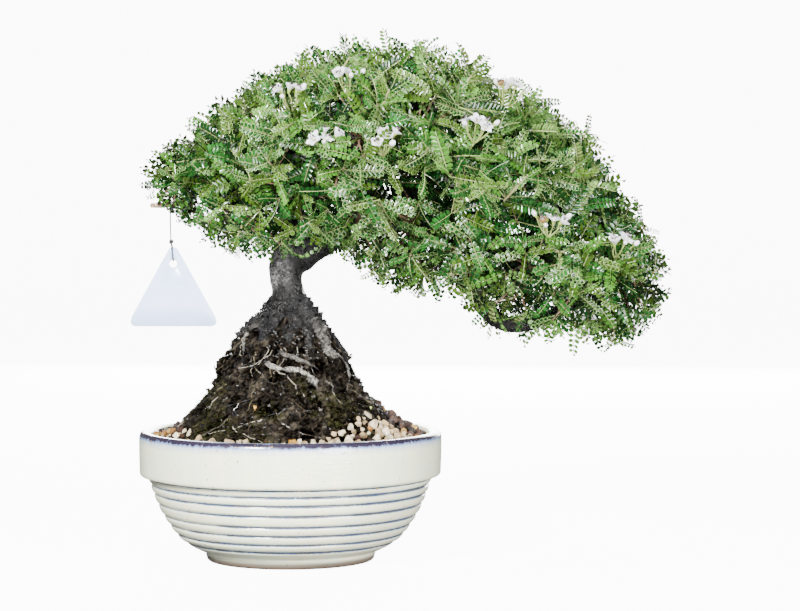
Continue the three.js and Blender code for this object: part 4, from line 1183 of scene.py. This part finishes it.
def bark_relief(points):
    """How far the bark stands out, and 0 to 1 how deep in a crack each point is."""
    x, y, z = points.T
    coarse = fractal(points, 10, 4, 1.2)
    crack = rise(np.abs(fractal(points * (1, 1, 0.4), 5, 4, 4.4)), 0.16, 0)
    low = rise(z, 198, 182) * (x < 90)
    knobs = np.abs(fractal(points, 6, 3, 9.4)) * rise(z, 158, 166)
    height = (0.5 + 0.7 * low) * coarse - (0.45 + 0.6 * low) * crack + 5.5 * low * (knobs - 0.12)
    for scar_x, scar_z, radius in SCARS:
        away = np.hypot(x - scar_x, z - scar_z)
        front = (y < 0) & (y > -25)
        height += front * (0.7 * bell(away - radius, 0.6) - 0.5 * bell(away, 0.6 * radius))
    return height, crack


def nearest_colours(points, marks):
    """Each point's colour, from the limb or root whose own surface is nearest."""
    tree = KDTree(len(marks))
    for index, (station, _) in enumerate(marks):
        tree.insert(station[:3], index)
    tree.balance()
    radii = [station[3] for station, _ in marks]
    chosen = [min(tree.find_n(p, 12), key=lambda found: abs(found[2] - radii[found[1]]))[1] for p in points]
    return np.array([marks[index][1] for index in chosen])


# Crown

def crown_sizes(x):
    """The middle height, half-height and half-depth of the crown's outline."""
    bottom, top, depth = columns_at(CROWN, x)
    return (top + bottom) / 2, (top - bottom) / 2, depth


def crown_share(points):
    """1 on the crown's outline, less inside it."""
    x, y, z = np.moveaxis(np.asarray(points, float), -1, 0)
    middle, half, depth = crown_sizes(x)
    beyond = np.maximum(0, np.maximum(CROWN[0, 0] - x, x - CROWN[-1, 0] + 4)) / 9
    return np.hypot(y / depth, (z - middle) / half) + beyond


def crown_outward(points):
    """The direction in which the crown's share grows."""
    steps = np.eye(3) * 6.0
    return unit(np.stack([crown_share(points + step) - crown_share(points - step) for step in steps], -1))


SPOT_TRIES = 9000


def tufts(spot):
    """How far a tuft stands out of the crown at a spot, or a hollow goes in, as a share of its depth."""
    return 0.19 * noise.noise(Vector(spot) / 34) + 0.07 * noise.noise(Vector(spot) / 15)


def crown_spots(spacing, depth, random):
    """Spots near a share of the crown's outline, in and out with its tufts, no two nearer than spacing."""
    chosen = []
    for _ in range(SPOT_TRIES):
        x = random.uniform(CROWN[0, 0] + 3, CROWN[-1, 0] - 8)
        angle = random.uniform(0, 2 * math.pi)
        middle, half, deep = crown_sizes(x)
        if random.uniform() > math.hypot(half * math.cos(angle), deep * math.sin(angle)) / 105:
            continue
        rim = np.array([x, deep * math.cos(angle), middle + half * math.sin(angle)])
        share = depth * (1 + tufts(rim))
        spot = np.array([x, share * rim[1], middle + share * (rim[2] - middle)])
        if not chosen or np.linalg.norm(np.array(chosen) - spot, axis=1).min() > spacing:
            chosen.append(spot)
    return chosen


def spray_centres():
    """The centre of mass of each spray in the frame."""
    centres = {}
    for name in sorted(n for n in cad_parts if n.startswith("spray_")):
        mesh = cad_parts[name].data
        mesh.calc_loop_triangles()
        points = points_of(mesh)
        a, b, c = (points[[t.vertices[i] for t in mesh.loop_triangles]] for i in range(3))
        volumes = np.einsum("ij,ij->i", a, np.cross(b, c))
        centres[name] = ((a + b + c) / 4 * volumes[:, None]).sum(axis=0) / volumes.sum()
    return centres


# Leaves

LEAFLET_EDGE = [(0, 0), (0.27, 0.45), (0.76, 0.49), (1, 0), (0.76, -0.49), (0.27, -0.45)]
PLAIN_EDGE = [(0, 0), (0.5, 0.5), (1, 0), (0.5, -0.5)]
LEAFLET_WIDTH = 0.84
TIP_WIDTH = 0.8
PETIOLE_SHARE = 0.13
RACHIS_SHARE = 0.97
RACHIS_RINGS = 5
RACHIS_RADIUS = 0.012
FEWEST_PAIRS = 4
MOST_PAIRS = 14
MIDDLE, MARGIN, UNDER, RIB = range(4)


def leaf_template(pairs, outline, breadth):
    """A leaf of unit length: each vertex's place on the rib, offsets, side and leaflet, and the faces."""
    rows, faces, codes = [], [], []
    pitch = (RACHIS_SHARE - PETIOLE_SHARE) / pairs
    places = [(PETIOLE_SHARE + pitch * (i + 0.25), i / pairs) for i in range(pairs)]
    blades = [(rib, side, place) for rib, place in places for side in (-1, 1)]
    blades.append((0.965, 0, 1.0))
    for number, (rib, side, place) in enumerate(blades, start=1):
        first, centre = len(rows), len(rows) + len(outline)
        long = breadth * math.sin(math.pi * (0.22 + 0.6 * place)) ** 0.8
        wide = (LEAFLET_WIDTH if side else TIP_WIDTH) * pitch
        lean = math.radians(76 - 24 * place) if side else 0
        for p, q in [*outline, (0.5, 0)]:
            forward = long * p * math.cos(lean) + wide * q * math.sin(lean)
            across = 0.008 * abs(side) + long * p * math.sin(lean) - wide * q * math.cos(lean)
            droop = -0.22 * wide * (2 * q) ** 2 - 0.18 * long * p * p
            rows.append((rib, forward, across * (side or 1), droop, side or 1, number))
        edge = list(range(first, centre))
        order = 1 if side == -1 else -1
        for a, b in zip(edge, edge[1:] + edge[:1]):
            faces.append((a, b, centre)[::order])
            codes.append((MARGIN, MARGIN, MIDDLE)[::order])
        for a, b in zip(edge[1:], edge[2:]):
            faces.append((first, b, a)[::order])
            codes.append((UNDER, UNDER, UNDER))
    first = len(rows)
    for rib in np.linspace(0, RACHIS_SHARE, RACHIS_RINGS):
        thick = RACHIS_RADIUS * (1 - 0.4 * rib)
        for angle in np.radians((90, 210, 330)):
            rows.append((rib, 0, thick * math.cos(angle), thick * math.sin(angle), 0, 0))
    rows += [(0, -0.002, 0, 0, 0, 0), (RACHIS_SHARE, 0.01, 0, 0, 0, 0)]
    rachis = tube_faces(RACHIS_RINGS, 3) + first
    columns = np.array(rows, float).T
    codes += [(RIB, RIB, RIB)] * len(rachis)
    return (*columns[:5], columns[5].astype(int), np.vstack([faces, rachis]), np.array(codes))


def leaf_templates(outline, breadth):
    return {pairs: leaf_template(pairs, outline, breadth) for pairs in range(FEWEST_PAIRS, MOST_PAIRS + 1)}


FULL = leaf_templates(LEAFLET_EDGE, 0.155)
PLAIN = leaf_templates(PLAIN_EDGE, 0.23)


def leaf_points(leaf, template, fold, scale):
    """Vertices of like leaves: leaflets folded up and scaled, the rib bent down and twisted."""
    rib, forward, across, height, side = template
    base, out, face = leaf["base"][:, None], leaf["out"][:, None], leaf["face"][:, None]
    bend, twist, length = (leaf[key][:, None] for key in ("bend", "twist", "length"))
    lateral = np.cross(out, face)
    wide = np.abs(across) * scale
    beside = np.where(side == 0, across, side * (wide * np.cos(fold) - height * np.sin(fold)))
    above = np.where(side == 0, height, wide * np.sin(fold) + height * np.cos(fold))
    bend = np.where(np.abs(bend) < 1e-3, 1e-3, bend)
    turn = (bend * rib)[..., None]
    spin = (twist * rib)[..., None]
    spine = out * np.sin(turn) / bend[..., None] + face * (np.cos(turn) - 1) / bend[..., None]
    tangent = out * np.cos(turn) - face * np.sin(turn)
    normal = face * np.cos(turn) + out * np.sin(turn)
    points = spine + tangent * (forward * scale)[..., None]
    points = points + (lateral * np.cos(spin) - normal * np.sin(spin)) * beside[..., None]
    points = points + (normal * np.cos(spin) + lateral * np.sin(spin)) * above[..., None]
    return base + points * length[..., None]


def grow_leaves(parts, leaves, templates, random):
    """Adds leaves to a mesh, those with as many pairs of leaflets together."""
    for pairs in sorted({leaf["pairs"] for leaf in leaves}):
        some = [leaf for leaf in leaves if leaf["pairs"] == pairs]
        like = {key: np.array([leaf[key] for leaf in some]) for key in some[0]}
        *template, leaflet, faces, codes = templates[pairs]
        each_leaflet = (len(some), leaflet.max() + 1)
        jitter = random.normal(0, 0.13, each_leaflet)
        grow = 1 + random.normal(0, 0.06, each_leaflet)
        shade = 1 + random.normal(0, 0.19, each_leaflet)
        grow[:, 0] = 1
        fold = like["fold"][:, None] + jitter[:, leaflet]
        points = leaf_points(like, template, fold, grow[:, leaflet])
        shade = shade[:, leaflet[faces[:, 0]]][:, :, None, None]
        colours = like["colours"][:, codes] * shade ** (1, 1, 1, 0)
        offsets = (np.arange(len(some)) * len(leaflet))[:, None, None]
        parts.add_marked(points.reshape(-1, 3), (faces + offsets).reshape(-1, 3),
                         np.clip(colours, 0, 1).reshape(-1, 3, 4))


LEAF_KINDS = [
    # share, share added on young shoots, upper side, underside
    (0.48, -0.20, linear("0d370f"), linear("507637")),
    (0.26, -0.02, linear("1c521b"), linear("5d863f")),
    (0.15, 0.08, linear("3c5916"), linear("6c8044")),
    (0.11, 0.14, linear("427424"), linear("72944c")),
]
RIB_COLOUR = linear("b0bb7c")
TWIG_COLOUR = linear("7a6450")
ON_EDGE = 0.85


def leaf_colours(folded, youth, shade, random):
    """Colours and margin marks for a leaf's middle, its margin, its underside and its rib."""
    shares = np.array([kind[0] + youth * kind[1] for kind in LEAF_KINDS])
    _, _, upper, under = LEAF_KINDS[random.choice(len(LEAF_KINDS), p=shares / shares.sum())]
    upper = upper * random.uniform(0.45, 1.2)
    rib = mixed(RIB_COLOUR, upper, random.uniform(0, 0.4) if folded else random.uniform(0.3, 0.9))
    # Painted shade: leaves deeper in the crown are darkened by shade.
    colours = np.array([upper, upper, under * random.uniform(0.6, 1.05), rib]) * shade
    # The pale edge, with its painted highlight, is stronger on leaves in full light.
    marks = [0, random.uniform(0.6, 1) if shade > 0.8 else 0.4, 0, 0]
    return np.column_stack([colours, marks])


def leaf_at(base, out, up, length, habit, random):
    """A leaf that grows from base along out, its upper side towards up. Most stand half on edge."""
    folded, youth, shade = habit
    face = unit(up - out * (up @ out) + 1e-4 * UP)
    if random.random() < ON_EDGE:
        level = unit(np.cross(out, UP) + random.normal(0, 0.15, 3))
        face = face * 0.35 + level * (1 if level @ up > 0 else -1)
        face = unit(face - out * (face @ out))
    roll = random.normal(0, 0.28)
    is_folded = random.random() < folded
    face = unit(face * math.cos(roll) + np.cross(out, face) * math.sin(roll))
    return {
        "base": base, "out": out, "face": face, "length": length,
        "bend": random.uniform(0.1, 0.8), "twist": random.normal(0, 0.3),
        "fold": random.uniform(0.65, 1.15) if is_folded else random.uniform(-0.1, 0.45),
        "colours": leaf_colours(is_folded, youth, shade, random),
    }


def rosette(spot, axis, count, reach, habit, random):
    """Leaves round the end of a short shoot, the innermost upright and the outermost spread."""
    turn = random.uniform(0, 2 * math.pi)
    leaves = []
    for i in range(count):
        share = (i + 0.5) / count
        sideways = spoke(axis, turn + i * GOLDEN_ANGLE + random.normal(0, 0.2))
        tilt = math.radians(14 + 62 * share ** 0.85 + random.normal(0, 9))
        out = unit(axis * math.cos(tilt) + sideways * math.sin(tilt))
        length = reach * (0.6 + 0.42 * min(1, share * 1.8)) * random.uniform(0.82, 1.14)
        leaves.append(leaf_at(spot - axis * share * 5, out, axis, length, habit, random))
    return leaves


def long_shoot(path, reach, habit, random):
    """Leaves up both sides of a long shoot, and a few at its tip."""
    folded, youth, shade = habit
    leaves = []
    tangents = unit(np.gradient(path[:, :3], axis=0))
    for i in range(1, len(path) - 1):
        out = unit(tangents[i] * 0.75 + spoke(tangents[i], i * GOLDEN_ANGLE))
        length = reach * random.uniform(0.7, 1.05) * (1 - 0.35 * i / len(path))
        leaves.append(leaf_at(path[i, :3], out, tangents[i], length, habit, random))
    tip_habit = (folded + 0.15, youth, shade)
    return leaves + rosette(path[-1, :3], tangents[-1], 4, reach * 0.75, tip_habit, random)


def leaf_tip(leaf):
    """Where a leaf ends, bent as it is."""
    bend = leaf["bend"]
    chord, drop = math.sin(bend) / bend, (math.cos(bend) - 1) / bend
    return leaf["base"] + (leaf["out"] * chord + leaf["face"] * drop) * leaf["length"]


def fitted(leaves, limit, pair_pitch, random):
    """Shortens leaves that reach past a share of the crown's outline, and counts their leaflet pairs."""
    kept = []
    for leaf in leaves:
        reach = limit + STRAGGLERS * random.random() ** 2
        whole = leaf["length"]
        while crown_share(leaf_tip(leaf)) > reach and leaf["length"] > 0.55 * whole:
            leaf["length"] *= 0.9
        leaf["pairs"] = int(np.clip(round(leaf["length"] / pair_pitch), FEWEST_PAIRS, MOST_PAIRS))
        if leaf["length"] > SHORTEST_LEAF:
            kept.append(leaf)
    return kept


# Sprays

# A habit is the share of folded leaves, how young the leaves are, and how much light they have, which
# darkens deeper leaves as painted shade.
LAYERS = [
    # share of the outline, spacing, leaves a shoot, their length, pitch of leaflets, templates, habit
    (0.86, 17.5, (5, 8), 33, 3.4, FULL, (0.35, 0.9, 1.0)),
    (0.67, 20, (5, 7), 34, 4.8, PLAIN, (0.15, 0.1, 0.5)),
    (0.44, 26, (4, 6), 36, 6.0, PLAIN, (0.1, 0.0, 0.2)),
]
UNDER_PITCH = 4.6
LEAF_LIMIT = 1.02
SHOOT_LIMIT = 1.04
SHORTEST_LEAF = 14
STRAGGLERS = 0.2
LEAN = np.array([0.2, 0, 0.42])
CARRIER_RADIUS = 2.4
TWIG_RADIUS = 1.0
# Long shoots: how many, how far apart, how long, and their leaves: length, pitch of leaflets and habit
LONG_SHOOTS = 40
LONG_SHOOT_SPACING = 45
LONG_SHOOT_LENGTHS = (18, 34)
LONG_SHOOT_LEAF = 26
LONG_SHOOT_PITCH = 3.0
LONG_SHOOT_HABIT = (0.35, 0.9, 1.0)
SHADE_HEART_RADIUS = 23
SHADE_HEART_COLOURS = palette("060a05 0c160a 16260f 0a0d07 20340f") * 0.5


def add_twig(parts, start, end, radius, shade, random):
    """A crooked twig that tapers to half its radius, darkened by shade as painted shade."""
    bow = (start + end) / 2 + random.normal(0, 2.5, 3)
    stations = [(*start, radius), (*bow, radius * 0.75), (*end, radius * 0.5)]
    add_stem(parts, stations, 8, 5, TWIG_COLOUR * random.uniform(0.5, 1.1) * shade)


def add_shade_heart(parts, core, random):
    """A dark lump in the middle of a spray, painted shade where its twigs and shaded leaves crowd together.
    """
    points, faces = BALL
    radius = min(SHADE_HEART_RADIUS, 0.36 * float(crown_sizes(core[0])[1]))
    grown = points * (1 + 0.3 * fractal(points * radius + core, 12, 3, 2.2))[:, None]
    spots = core + grown * radius
    middle = crown_sizes(spots[:, 0])[0]
    axis = np.stack([spots[:, 0], np.zeros(len(spots)), middle], -1)
    spots = axis + (spots - axis) * np.minimum(1, 0.52 / np.maximum(crown_share(spots), 1e-6))[:, None]
    colours = SHADE_HEART_COLOURS[random.integers(len(SHADE_HEART_COLOURS), size=len(faces))]
    parts.add(spots, faces, colours[:, None])


def drawn_in(spot, axis, reach, limit):
    """The spot, moved into the crown until leaves of this reach along the axis fit in the limit."""
    outward = crown_outward(spot)
    for _ in range(9):
        if crown_share(spot + axis * reach) <= limit:
            break
        spot = spot - outward * 2
    return spot


def grow_layer(sprays, cores, layer, random):
    """Short shoots at one depth of the crown, each on the spray nearest to it, and smaller beneath."""
    depth, spacing, (fewest, most), reach, pitch, templates, habit = layer
    for spot in crown_spots(spacing, depth, random):
        near = nearest(cores, spot)
        outward = crown_outward(spot)
        under = outward[2] < -0.35
        axis = unit(outward + LEAN * (0.4 if under else 1) + random.normal(0, 0.24, 3))
        if under:
            count = random.integers(fewest, most + 1)
            leaves = rosette(spot, axis, count, reach * 0.75, (0.1, 0, habit[2]), random)
            leaves = fitted(leaves, LEAF_LIMIT + tufts(spot), UNDER_PITCH, random)
        else:
            spot = drawn_in(spot, axis, 0.68 * reach, SHOOT_LIMIT + tufts(spot))
            count = random.integers(fewest, most + 1)
            leaves = rosette(spot, axis, count, reach, habit, random)
            leaves = fitted(leaves, LEAF_LIMIT + tufts(spot), pitch * random.uniform(0.88, 1.16), random)
        grow_leaves(sprays[near], leaves, templates, random)
        add_twig(sprays[near], cores[near], spot, TWIG_RADIUS, habit[2], random)


def grow_long_shoots(sprays, cores, random):
    """Long shoots that stand out of the crown."""
    for spot in crown_spots(LONG_SHOOT_SPACING, 0.8, random)[:LONG_SHOOTS]:
        near = nearest(cores, spot)
        axis = unit(crown_outward(spot) + LEAN + random.normal(0, 0.3, 3))
        length = random.uniform(*LONG_SHOOT_LENGTHS)
        while crown_share(spot + axis * length) > 1.0 and length > 6:
            length -= 2
        end = spot + axis * length
        bow = (spot + end) / 2 - UP * random.uniform(0, 0.1) * length
        path = spline([(*spot, 0.9), (*bow, 0.8), (*end, 0.5)], 6)
        leaves = long_shoot(path, LONG_SHOOT_LEAF, LONG_SHOOT_HABIT, random)
        leaves = fitted(leaves, 1.08, LONG_SHOOT_PITCH, random)
        grow_leaves(sprays[near], leaves, FULL, random)
        add_twig(sprays[near], cores[near], spot, TWIG_RADIUS, 1.0, random)
        sprays[near].add(*tube(path[:, :3], path[:, 3], 5), mixed(TWIG_COLOUR, RIB_COLOUR, 0.4))


def make_foliage(centres):
    """Every spray of the crown: its dark heart of painted shade, the twig it hangs on, and its shoots with
    their leaves.
    """
    random = np.random.default_rng(7)
    cores = np.array(list(centres.values()))
    sprays = [Parts() for _ in cores]
    limbs = np.vstack([spline(*limb) for limb in LIMBS[:CARRIERS]])[:, :3]
    for spray, core in zip(sprays, cores):
        # Painted shade: the twigs that carry the sprays are darkened.
        add_twig(spray, limbs[nearest(limbs, core)], core, CARRIER_RADIUS, 0.4, random)
        add_shade_heart(spray, core, random)
    for layer in LAYERS:
        grow_layer(sprays, cores, layer, random)
    grow_long_shoots(sprays, cores, random)
    material = leaf_material()
    for name, spray in zip(centres, sprays):
        spray.build("foliage_" + name[-2:], material, 60, "leaf", name)


# Flowers

PETAL = linear("ecebf2")
PETAL_SHADE = linear("b4b29c")
SPENT_PETAL = linear("86683a")
BUD = linear("b7c47c")
SEPAL = linear("93a648")
STALK = linear("8d9a58")
FILAMENT = linear("efece0")
ANTHER = linear("34222c")
PETALS = 5
STAMENS = 12
SPENT_SHARE = 1 / 9
PETAL_WIDTH = 0.39
PETAL_THICKNESS = 0.25
FLOWER_SIZES = (4.8, 6.2)
BUD_SIZES = (1.5, 2.2)
CLUSTER_SPREAD = 4.9
STALK_LENGTH = 13


def petal_colours(points, faces, centre, length, colour):
    """Petals darkened to green-grey towards the centre as painted shade in the cup: a colour for each face
    by its distance from the centre.
    """
    away = np.linalg.norm(points[faces].mean(axis=1) - centre, axis=1) / length
    return mixed(PETAL_SHADE, colour, np.clip(0.35 + 1.1 * away, 0, 1)[:, None])[:, None]


def petal_grid(centre, axis, out, length, width, cup):
    """A rounded petal from the flower's centre outwards, cupped up along axis."""
    side = np.cross(axis, out)
    grid = []
    for u in np.linspace(0, 1, 5):
        spread = width * (math.sin(math.pi * min(0.93, 0.1 + 0.76 * u)) ** 0.7)
        lift = cup * u * (1.25 - 0.45 * u) * length
        reach = length * u * math.cos(0.75 * cup * u)
        row = []
        for v in np.linspace(1, -1, 5):
            height = lift + 0.25 * spread * v * v
            far = reach - 0.12 * length * v * v * u
            row.append(centre + out * far + side * spread * v + axis * height)
        grid.append(row)
    return np.array(grid)


def dart(base, end, radius):
    """A slim four-sided spindle from base to end, widest in the middle."""
    axis = unit(end - base)
    ring = [(base + end) / 2 + radius * spoke(axis, a) for a in np.radians((0, 90, 180, 270))]
    sides = [(i + 2, (i + 1) % 4 + 2) for i in range(4)]
    faces = [(0, a, b) for a, b in sides] + [(1, b, a) for a, b in sides]
    return np.array([end, base, *ring]), np.array(faces)


def add_flower(parts, centre, axis, size, random):
    """Five cupped petals round a brush of stamens, on a green calyx. A few flowers are spent."""
    turn = random.uniform(0, 2 * math.pi)
    cup = random.uniform(0.5, 1.1)
    spent = random.random() < SPENT_SHARE
    for petal in range(PETALS):
        out = spoke(axis, turn + petal * 2 * math.pi / PETALS + random.normal(0, 0.08))
        length = size * random.uniform(0.9, 1.08) * (0.6 if spent else 1)
        own_cup = 1.5 if spent else cup + random.normal(0, 0.1)
        grid = petal_grid(centre + out * 0.8, axis, out, length, size * PETAL_WIDTH, own_cup)
        points, faces = shell(grid, PETAL_THICKNESS)
        colour = (SPENT_PETAL if spent else PETAL) * random.uniform(0.85, 1.0)
        parts.add(points, faces, petal_colours(points, faces, centre, length, colour))
    for _ in range(STAMENS):
        out = spoke(axis, random.uniform(0, 2 * math.pi))
        lean = random.uniform(0.1, 0.55)
        end = centre + (axis * math.cos(lean) + out * math.sin(lean)) * size * random.uniform(0.7, 1.15)
        parts.add(*dart(centre, end, 0.16), FILAMENT)
        parts.add(*dart(end - axis * 0.7, end + axis * 0.7, 0.6), ANTHER * random.uniform(0.3, 1.2))
    add_calyx(parts, centre - axis * 0.2, axis, 1.7)


def add_calyx(parts, centre, axis, size):
    """A green cup with five pointed sepals under a flower or bud."""
    path = np.array([centre - axis * size * 1.5, centre - axis * size * 0.7, centre])
    parts.add(*tube(path, np.array([0.3, 0.65, 0.72]) * size, 7), SEPAL)
    for sepal in range(PETALS):
        out = spoke(axis, sepal * 2 * math.pi / PETALS + 0.6)
        base, tip = out * 0.5 - axis * 0.4, out * 0.95 + axis * 0.9
        parts.add(*dart(centre + base * size, centre + tip * size, size * 0.3), SEPAL * 1.15)


def add_bud(parts, centre, axis, size, open_share, random):
    """An egg-shaped bud, white where it has begun to open."""
    points, faces = BALL
    shape = points * size + np.outer(points @ axis, axis) * size * 0.45
    colour = mixed(BUD, PETAL, open_share) * random.uniform(0.9, 1)
    parts.add(shape + centre + axis * size * 0.9, faces, colour)
    add_calyx(parts, centre, axis, size * 0.95)


def blossom_anchor(name):
    """The middle of a cluster in the frame, and its direction out of the crown."""
    points = points_of(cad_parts[name].data)
    shares = crown_share(points)
    centre = points[shares > np.quantile(shares, 0.55)].mean(axis=0)
    return centre, crown_outward(centre)


def add_cluster(parts, centre, outward, core, random):
    """Flowers and buds on stalks that leave one stem, which comes from the core of a spray."""
    axis = unit(0.35 * outward + UP)
    fork = centre - axis * STALK_LENGTH - outward * 3
    add_stem(parts, [(*core, 1.1), (*((core + fork) / 2), 0.9), (*fork, 0.7)], 9, 6, STALK)
    turn = random.uniform(0, 2 * math.pi)
    flowers, buds = random.integers(3, 5), random.integers(2, 4)
    for index in range(flowers + buds):
        spread = CLUSTER_SPREAD * math.sqrt(index + 0.3)
        out = spoke(axis, turn + index * GOLDEN_ANGLE)
        spot = centre + out * spread + axis * random.uniform(-2.5, 2)
        face = unit(axis + out * 0.1 * spread + 0.1 * outward + random.normal(0, 0.2, 3))
        if index < flowers:
            add_flower(parts, spot, face, random.uniform(*FLOWER_SIZES), random)
        else:
            add_bud(parts, spot, face, random.uniform(*BUD_SIZES), random.uniform(0.5, 1), random)
        bow = (fork + spot) / 2 + out * 1.5
        add_stem(parts, [(*fork, 0.5), (*bow, 0.42), (*(spot - face * 2), 0.42)], 6, 5, STALK)


def make_flowers(centres):
    """A cluster of flowers and buds for each blossom in the frame."""
    random = np.random.default_rng(21)
    cores = np.array(list(centres.values()))
    material = tinted_material("petal", 0.5, 1.5, 0.08, 0.05)
    for name in sorted(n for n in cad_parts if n.startswith("blossom_")):
        parts = Parts()
        centre, outward = blossom_anchor(name)
        add_cluster(parts, centre, outward, cores[nearest(cores, centre)], random)
        parts.build("flowers_" + name[-2:], material, 60, "petal", name)


make_camera()
make_string(make_tag())
make_floor()
make_lights()
make_bowl()
make_mound()
make_moss()
make_rootlets()
make_gravel()
sprays = spray_centres()
make_trunk()
make_foliage(sprays)
make_flowers(sprays)
